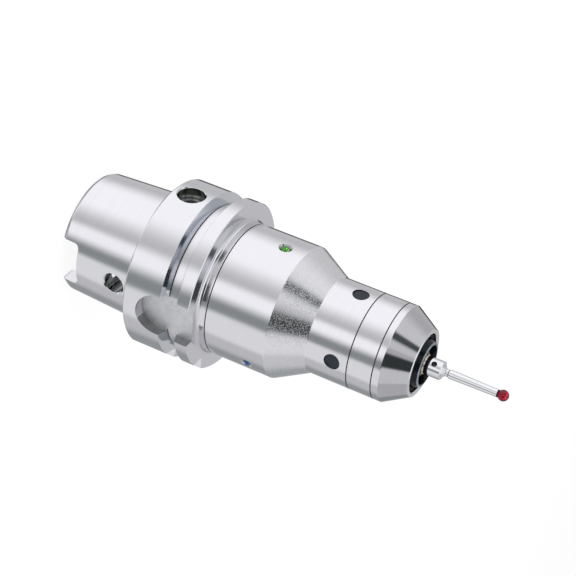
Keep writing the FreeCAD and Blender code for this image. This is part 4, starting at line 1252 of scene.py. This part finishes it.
@dataclass
class Nose(Part):
    """The ring, the nose cap and the rubber diaphragm in its mouth."""

    barrel: float = 17.76
    ring_bottom: float = 113.1
    ring_foot: Corners = ((12.1, 110.5), (13.95, 110.5), (13.95, 113.1))
    ring_hollow: Corners = ((13.4, 122.35), (13.4, 115.85), (12.1, 115.85))
    cap_bottom: float = 122.35
    cap_foot: Corners = ((12.2, 116.35), (13.35, 116.35), (13.35, 118.95), (12.8, 118.95),
                         (12.8, 119.75), (13.35, 119.75), (13.35, 122.35))
    cone_bottom: float = 124.85
    cone_round: float = 0.8
    top: float = 133.9
    front_radius: float = 12.32
    front_round: float = 0.7
    lip: float = 0.68
    mouth: float = 10.75
    mouth_wall: float = 133.3
    foot: float = 129.5
    clamped_radius: float = 12.2
    joint: float = 0.2
    fold: Corners = (
        (9.9, 127.7), (12.17, 127.7), (12.17, 129.5), (10.72, 129.5), (10.72, 131.6),
        (9.4, 131.6, 0.5), (8.1, 135.4, 0.55), (7.5, 135.4, 0.1), (7.5, 134.7),
        (9.0, 130.8), (9.9, 130.8),
    )
    fold_root: float = 130.8
    fold_keep: float = 0.25
    ridge: float = 135.05
    middle: Corners = (
        (7.45, 135.38), (7.2, 135.3, 0.1), (6.7, 132.8, 0.3), (4.4, 132.8, 0.3),
        (4.4, 134.2, 0.25), (3.03, 134.2), (3.03, 132.0), (7.6, 132.0), (7.45, 134.6),
    )

    def ring(self) -> None:
        """Make the ring between the housing and the cap."""
        section = Section([
            *self.ring_foot, (self.barrel - self.joint, self.ring_bottom),
            (self.barrel, self.ring_bottom + self.joint),
            (self.barrel, self.cap_bottom - self.joint),
            (self.barrel - self.joint, self.cap_bottom), *self.ring_hollow,
        ])
        piece = self.turned("ring", section)
        self.finish(piece, TURNED_HOUSING, Slot.GROUND_STEEL, Body.CASE, "front_ring")
        self.joint_lines(piece, JOINT_RADIUS,
                         (self.ring_bottom, self.ring_bottom + self.joint),
                         (self.cap_bottom - self.joint, self.cap_bottom))

    def cap(self) -> None:
        """Make the nose cap, with a brighter land and lip and painted shade in its mouth."""
        section = Section([
            *self.cap_foot, (self.barrel - self.joint, self.cap_bottom),
            (self.barrel, self.cap_bottom + self.joint),
            (self.barrel, self.cone_bottom, self.cone_round),
            (self.front_radius, self.top, self.front_round),
            (self.mouth, self.top, self.front_round),
            (self.mouth, self.foot), (self.clamped_radius, self.foot),
        ], 8)
        piece = self.turned("cap", section)
        self.finish(piece, NOSE_STEEL, Slot.GROUND_STEEL, Body.CASE, "nose_cap")
        self.zone(piece, TURNED_HOUSING, lambda face: face.height > self.top - self.lip
                  or face.radius > self.barrel - 0.15)
        # Painted shade on the inner wall of the mouth.
        self.zone(piece, SHADED_POCKET_WALL, lambda face: face.radius < self.mouth + 0.05
                  and face.height < self.mouth_wall)
        self.joint_lines(piece, JOINT_RADIUS,
                         (self.cap_bottom, self.cap_bottom + self.joint))

    def diaphragm(self) -> None:
        """Make the fold, which stays on the case, and the middle, which the stylus carries."""
        piece = self.turned("diaphragm_fold", Section(list(self.fold)))
        self.finish(piece, BLACK_RUBBER, Slot.RUBBER, Body.CASE, "diaphragm")
        # Painted highlight along the top of the fold.
        self.zone(piece, RIDGE_HIGHLIGHT, lambda face: face.height > self.ridge
                  and face.normal.z > 0.35)
        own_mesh(piece)
        piece = self.turned("diaphragm_centre", Section(list(self.middle)))
        self.finish(piece, BLACK_RUBBER, Slot.RUBBER, Body.STYLUS)

    def build(self) -> None:
        """Make the ring, the cap and both parts of the diaphragm."""
        self.ring()
        self.cap()
        self.diaphragm()
        self.dress_node("cap_seal", SEAL_RUBBER)
        self.dress_node("clamp_ring", POLISHED)


@dataclass
class Lamps(Part):
    """The three signal lamps and their board."""

    height: float = 77.4
    tip: float = 25.0
    length: float = 6.09
    lens_radius: float = 1.56
    collar_radius: float = 1.9
    collar_width: float = 1.0
    dome_step: float = 6.0

    def lamp(self, name: str, angle: float, finish: Finish, slot: Slot) -> None:
        """Make one lamp: a domed lens with a collar.

        Args:
            name: the CAD node that it stands for.
            angle: where it is round the axis.
            finish: its lens.
            slot: the record's slot.
        """
        wide, length = self.lens_radius, self.length
        dome = [(wide * math.cos(t), length - wide + wide * math.sin(t))
                for t in (math.radians(self.dome_step * step) for step in range(15))]
        section = Section([(0.0, 0.0), (self.collar_radius, 0.0),
                           (self.collar_radius, self.collar_width), (wide, self.collar_width),
                           *dome, (0.0, length)])
        mesh = turned_mesh(name, section, SMALL_STEPS)
        smooth_faces(mesh, LENS_CREASE)
        mesh.transform(outward_matrix(angle, self.tip - length, self.height))
        self.finish(new_object(name + "_lens", mesh), finish, slot, Body.CASE, name)

    def build(self) -> None:
        """Make the lamps and dress their board."""
        self.lamp("green_lamp", 180, GREEN_LENS, Slot.GREEN_LENS)
        self.lamp("blue_lamp", 300, BLUE_LENS, Slot.BLUE_LENS)
        self.lamp("red_lamp", 60, RED_LENS, Slot.RED_LENS)
        self.dress_node("lamp_board", BOARD_RESIST)


@dataclass
class Stylus(Part):
    """The hub, stem and ruby ball, with the collar that holds the diaphragm."""

    seat: float = 135.1
    tail_radius: float = 1.42
    tail_length: float = 4.5
    hub_radius: float = 3.35
    hub_chamfers: tuple[float, float] = (0.1, 0.25)
    hub_top: float = 141.1
    hub_neck: Corners = ((2.3, 141.1), (2.0, 141.45, 0.1), (1.3, 142.325, 0.6), (1.3, 143.2))
    cross_angle: float = 210.6
    cross_height: float = 3.0
    cross_radius: float = 1.0
    stem_bottom: float = 143.2
    stem_foot: float = 1.17
    stem_wide: float = 1.62
    stem_flare: float = 0.45
    stem_narrow: float = 1.37
    stem_tip: float = 1.36
    stem_top: float = 161.6
    dark_band: float = 0.45
    cup_radius: float = 2.02
    cup_mouth: float = 1.30
    cup_start: float = -42.0
    ball_height: float = 163.3
    ball_radius: float = 2.0
    collar_corners: Corners = ((3.03, 134.2), (3.45, 134.2), (3.45, 134.5), (3.75, 134.6),
                               (3.42, 135.08), (3.03, 135.08))
    gap_outline: tuple[tuple[float, float], ...] = ((2.0, -0.5), (5.0, -0.5), (5.0, 0.5),
                                                    (2.0, 0.5))
    gap_heights: tuple[float, float] = (133.0, 136.0)
    gap_angle: float = 30.0

    def hub(self) -> None:
        """Make the hub with its cross hole."""
        low, high = self.hub_chamfers
        section = Section([
            (0.0, self.seat - self.tail_length), (self.tail_radius, self.seat - self.tail_length),
            (self.tail_radius, self.seat), (self.hub_radius - low, self.seat),
            (self.hub_radius, self.seat + low), (self.hub_radius, self.hub_top - high),
            (self.hub_radius - high, self.hub_top), *self.hub_neck, (0.0, self.stem_bottom),
        ])
        cross = drill(self.cross_angle, self.seat + self.cross_height, -5, 5,
                      self.cross_radius)
        piece = self.turned("hub", section, HUB_STEPS, [cross])
        self.finish(piece, TURNED_HUB, Slot.POLISHED_STEEL, Body.STYLUS, "stylus_hub")
        # Painted shade in the cross hole.
        self.zone(piece, SHADED_BORE, lambda face: face.radius < self.hub_radius - 0.15 and
                  abs(face.height - self.seat - self.cross_height) < self.cross_radius + 0.1)

    def stem(self) -> None:
        """Make the stem, with a cup for the ball and a dark band at its end."""
        arc = [math.radians(self.cup_start - (90 + self.cup_start) * step / 8)
               for step in range(9)]
        cup = [(self.cup_radius * math.cos(t), self.ball_height + self.cup_radius * math.sin(t))
               for t in arc]
        section = Section([
            (0.0, self.stem_bottom), (self.stem_foot, self.stem_bottom),
            (self.stem_wide, self.stem_bottom + self.stem_flare),
            (self.stem_narrow, self.stem_top - self.dark_band), (self.stem_tip, self.stem_top),
            *((radius, height) for radius, height in cup
              if SLACK < radius < self.cup_mouth and height < self.stem_top),
            (0.0, self.ball_height - self.cup_radius),
        ])
        piece = self.turned("stem", section, STEM_STEPS)
        self.finish(piece, DRAWN_STEM, Slot.POLISHED_STEEL, Body.STYLUS, "stylus_stem")
        # The stem's last stretch before the ball is dark.
        self.zone(piece, DARK_CUP_BAND, lambda face: face.height > self.stem_top - self.dark_band)

    def ball(self) -> None:
        """Make the ruby ball."""
        arc = [math.radians(-90 + 180 * step / 48) for step in range(1, 48)]
        section = Section([
            (0.0, self.ball_height - self.ball_radius),
            *((self.ball_radius * math.cos(t), self.ball_height + self.ball_radius * math.sin(t))
              for t in arc),
            (0.0, self.ball_height + self.ball_radius),
        ])
        mesh = turned_mesh("ball", section, STEM_STEPS)
        smooth_faces(mesh)
        self.finish(new_object("ball", mesh), RUBY, Slot.RUBY, Body.STYLUS, "ruby_ball")

    def collar(self) -> None:
        """Make the split collar that holds the diaphragm on the hub."""
        turn = Matrix.Rotation(math.radians(self.gap_angle), 4, "Z")
        gap = prism("collar_gap", list(self.gap_outline), *self.gap_heights, turn)
        section = Section(list(self.collar_corners))
        piece = self.turned("collar", section, STEM_STEPS, [gap])
        self.finish(piece, TAN_METAL, Slot.POLISHED_STEEL, Body.STYLUS, "diaphragm_collar")

    def build(self) -> None:
        """Make the four pieces of the stylus that can be seen."""
        self.hub()
        self.stem()
        self.ball()
        self.collar()


@dataclass
class Sensor(Part):
    """The pieces inside, which keep their CAD shapes."""

    finishes: tuple[tuple[Finish, tuple[str, ...]], ...] = (
        (CARRIER, ("battery_holder", "battery_cover", "sensor_insert", "contact_ring")),
        (CELL_WRAP, ("left_cell", "right_cell")),
        (GOLD_PLATE, ("base_contacts", "cell_bridge", "lead_pin", "contact_disc",
                      "contact_leaves")),
        (POLISHED, ("preload_plug", "slide_sleeve", "sleeve_pins", "gimbal_ring",
                    "stylus_holder", "holder_pins")),
        (SPRING_WIRE, ("push_spring", "centring_spring")),
    )

    def build(self) -> None:
        """Dress each inside node."""
        for finish, nodes in self.finishes:
            for node in nodes:
                self.dress_node(node, finish)


def cool(tone: float) -> Color:
    """Return a grey of this brightness, a little bluer and greener where it is dark."""
    return tone * (0.84 + 0.16 * min(1.0, tone / 0.5)), tone, tone * 1.01


class Tier(Enum):
    """The two rings that the panels stand in, one above the other."""

    LOWER = "lower"
    UPPER = "upper"


@dataclass(frozen=True)
class Panel:
    """A soft light panel or a dark card beside the object, which only steel mirrors.

    Angles are in degrees round the object, as it is turned before the camera.
    """

    tier: Tier
    angle: float
    half_width: float
    edge: float
    tone: float

    def mask(self, bench: NodeBench, turn: bpy.types.NodeSocket) -> bpy.types.NodeSocket:
        """Work out where the panel is.

        Args:
            bench: the world's node bench.
            turn: the direction round the axis, from 0 to 1.

        Returns:
            The socket that is 1 on the panel and falls to 0 past its soft edge.
        """
        aside = bench.math("WRAP", bench.math("SUBTRACT", turn, self.angle / 360), 0.5, -0.5)
        return bench.rise(bench.math("ABSOLUTE", aside), (self.half_width + self.edge) / 360,
                          self.half_width / 360)


@dataclass(frozen=True)
class SoftLamp:
    """A square soft lamp that nothing mirrors, in metres and watts."""

    name: str
    spot: tuple[float, float, float]
    size: float
    power: float

    def build(self, aim: Vector) -> None:
        """Hang the lamp.

        Args:
            aim: what it points at.
        """
        data = bpy.data.lights.new(self.name, "AREA")
        data.shape, data.size, data.energy = "SQUARE", self.size, self.power
        made = bpy.data.objects.new(self.name, data)
        made.location = Vector(self.spot)
        made.rotation_mode = "QUATERNION"
        made.rotation_quaternion = (aim - Vector(self.spot)).to_track_quat("-Z", "Y")
        made.visible_glossy = False
        bpy.context.scene.collection.objects.link(made)


@dataclass(frozen=True)
class Studio:
    """A pale floor, a pale surround with soft grey panels, soft lamps and the camera."""

    focal_px: float = 1601.88
    picture_px: float = 576.0
    sensor_mm: float = 36.0
    clip: tuple[float, float] = (0.01, 20.0)
    swing: float = 0.37908
    tilt: float = 0.34371
    roll: float = 38.4
    face_place: tuple[float, float, float] = (-42.833, -9.766, 580.0)
    face_height: float = 32.0
    panels: tuple[Panel, ...] = (
        Panel(Tier.LOWER, 200, 20, 40, 1.15), Panel(Tier.LOWER, 280, 5, 15, 1.1),
        Panel(Tier.LOWER, 340, 20, 10, 0.85), Panel(Tier.LOWER, 310, 5, 10, 0.3),
        Panel(Tier.LOWER, 55, 10, 20, 0.35), Panel(Tier.LOWER, 100, 10, 5, 0.05),
        Panel(Tier.UPPER, 200, 10, 40, 0.85), Panel(Tier.UPPER, 340, 20, 5, 0.8),
        Panel(Tier.UPPER, 230, 5, 10, 0.1), Panel(Tier.UPPER, 255, 5, 10, 0.8),
        Panel(Tier.UPPER, 300, 15, 10, 0.05),
    )
    between_panels: float = 0.6
    upper_ring: tuple[float, float] = (0.1, 0.2)
    ceiling: tuple[tuple[float, float, Color], ...] = (
        (0.78, 0.90, (0.95, 0.95, 0.97)), (0.91, 0.94, (1.2, 1.2, 1.22)))
    surround: Color = (0.93, 0.94, 0.96)
    surround_strength: float = 0.85
    floor_half: float = 3.0
    floor_height: float = -0.0004
    floor_scale: float = 9.0
    floor_tones: tuple[float, float] = (0.93, 0.96)
    floor_roughness: float = 0.9
    floor_specular: float = 0.1
    floor_white: float = 0.91
    aim: tuple[float, float, float] = (0.0, 0.0, 0.085)
    lamps: tuple[SoftLamp, ...] = (
        SoftLamp("key_lamp", (-0.75, -0.35, 0.95), 0.5, 7.0),
        SoftLamp("fill_lamp", (0.1, -1.1, 0.5), 0.8, 5.0),
        SoftLamp("back_lamp", (0.6, 0.7, 0.9), 0.6, 5.0),
    )

    def axes(self) -> tuple[Vector, Vector, Vector]:
        """Work out how the camera sees the object's axes.

        Returns:
            The object's x, y and z axes in the camera's own right, down and forward.
        """
        swing, tilt, roll = self.swing, self.tilt, math.radians(self.roll)
        up = Vector((math.cos(tilt) * math.cos(swing), math.cos(tilt) * math.sin(swing),
                     -math.sin(tilt)))
        side = Vector((-math.sin(swing), math.cos(swing), 0))
        other = up.cross(side)
        x_axis = side * math.cos(roll) + other * math.sin(roll)
        return x_axis, up.cross(x_axis), up

    def camera(self) -> None:
        """Put the camera where the photograph was taken from."""
        turn = Matrix(self.axes())
        spot = turn @ -Vector(self.face_place) + Vector((0, 0, self.face_height))
        place = (turn @ Matrix.Diagonal((1, -1, -1))).to_4x4()
        place.translation = spot * MM
        data = bpy.data.cameras.new("camera")
        data.sensor_width = self.sensor_mm
        data.lens = self.focal_px / self.picture_px * self.sensor_mm
        data.clip_start, data.clip_end = self.clip
        made = bpy.data.objects.new("camera", data)
        made.matrix_world = place
        bpy.context.scene.collection.objects.link(made)
        bpy.context.scene.camera = made

    def ring(self, bench: NodeBench, turn: bpy.types.NodeSocket,
             tier: Tier) -> bpy.types.NodeSocket:
        """Stand one ring of panels on its grey surround.

        Args:
            bench: the world's node bench.
            turn: the direction round the axis, from 0 to 1.
            tier: which of the two rings.

        Returns:
            The colour socket.
        """
        stack = cool(self.between_panels)
        for panel in self.panels:
            if panel.tier is tier:
                stack = bench.mix(panel.mask(bench, turn), stack, cool(panel.tone))
        return stack

    def mirrored(self, bench: NodeBench) -> bpy.types.NodeSocket:
        """Stack the two rings of panels and the ceiling above them.

        Args:
            bench: the world's node bench.

        Returns:
            The colour socket of what steel mirrors.
        """
        parts = bench.split(bench.add("ShaderNodeTexCoord").outputs["Generated"])
        angle = bench.math("ARCTAN2", parts[1], parts[0])
        turned = bench.math("ADD", angle, math.radians(self.roll))
        turn = bench.math("FRACT", bench.math("MULTIPLY_ADD", turned, 1 / math.tau, 1.0))
        stack = self.ring(bench, turn, Tier.LOWER)
        upper = self.ring(bench, turn, Tier.UPPER)
        for start, end, tier in ((*self.upper_ring, upper), *self.ceiling):
            stack = bench.mix(bench.rise(parts[2], start, end), stack, tier)
        return stack

    def world(self) -> None:
        """Light the scene: white behind, panels for steel and a plain pale surround."""
        world = bpy.data.worlds.new("surround")
        world.use_nodes = True
        bpy.context.scene.world = world
        bench = NodeBench(world.node_tree)
        path = bench.add("ShaderNodeLightPath").outputs
        mirrored = bench.add("ShaderNodeBackground", {0: self.mirrored(bench), 1: 1.0})
        white = bench.add("ShaderNodeBackground", {0: (*WHITE, 1.0), 1: 1.0})
        plain = bench.add("ShaderNodeBackground", {0: (*self.surround, 1.0),
                                                   1: self.surround_strength})
        lit = bench.choose(path["Is Glossy Ray"], plain, mirrored)
        clear = bench.math("MAXIMUM", path["Is Camera Ray"], path["Is Transmission Ray"])
        shown = bench.choose(clear, lit, white)
        bench.add("ShaderNodeOutputWorld", {0: shown.outputs[0]})

    def floor(self) -> None:
        """Lay the pale floor that the shank's end stands on."""
        half, level = self.floor_half, self.floor_height
        mesh = bpy.data.meshes.new("floor")
        mesh.from_pydata([(-half, -half, level), (half, -half, level), (half, half, level),
                          (-half, half, level)], [], [(0, 1, 2, 3)])
        made = new_object("floor", mesh)
        material = bpy.data.materials.new("pale_floor")
        material.use_nodes = True
        bench = NodeBench(material.node_tree)
        cloud = bench.add("ShaderNodeTexNoise", {"Vector": bench.place(),
                                                 "Scale": self.floor_scale}).outputs[0]
        low, high = self.floor_tones
        color = bench.ramp(cloud, [(0.2, (low,) * 3), (0.8, (high,) * 3)])
        shader = bench.add("ShaderNodeBsdfPrincipled", {
            "Base Color": color, "Roughness": self.floor_roughness,
            "Specular IOR Level": self.floor_specular})
        white = bench.add("ShaderNodeEmission", {0: (*WHITE, 1.0), 1: 1.0})
        seen = bench.add("ShaderNodeLightPath").outputs["Is Camera Ray"]
        both = bench.choose(bench.math("MULTIPLY", seen, self.floor_white), shader, white)
        bench.add("ShaderNodeOutputMaterial", {0: both.outputs[0]})
        mesh.materials.append(material)
        made.visible_glossy = False

    def build(self) -> None:
        """Set up the whole studio."""
        self.camera()
        self.world()
        self.floor()
        for lamp in self.lamps:
            lamp.build(Vector(self.aim))
        bpy.context.scene.view_settings.view_transform = "Standard"
        LOG.info("studio: camera at %s", tuple(round(part, 4) for part in
                                              bpy.context.scene.camera.location))


def main() -> None:
    """Build the parts in order and report each piece."""
    logging.basicConfig(level=logging.INFO, format="%(message)s")
    for part in (Studio(), Shank(), Housing(), Nose(), Lamps(), Sensor(), Stylus()):
        part.build()


if __name__ == "__main__":
    main()
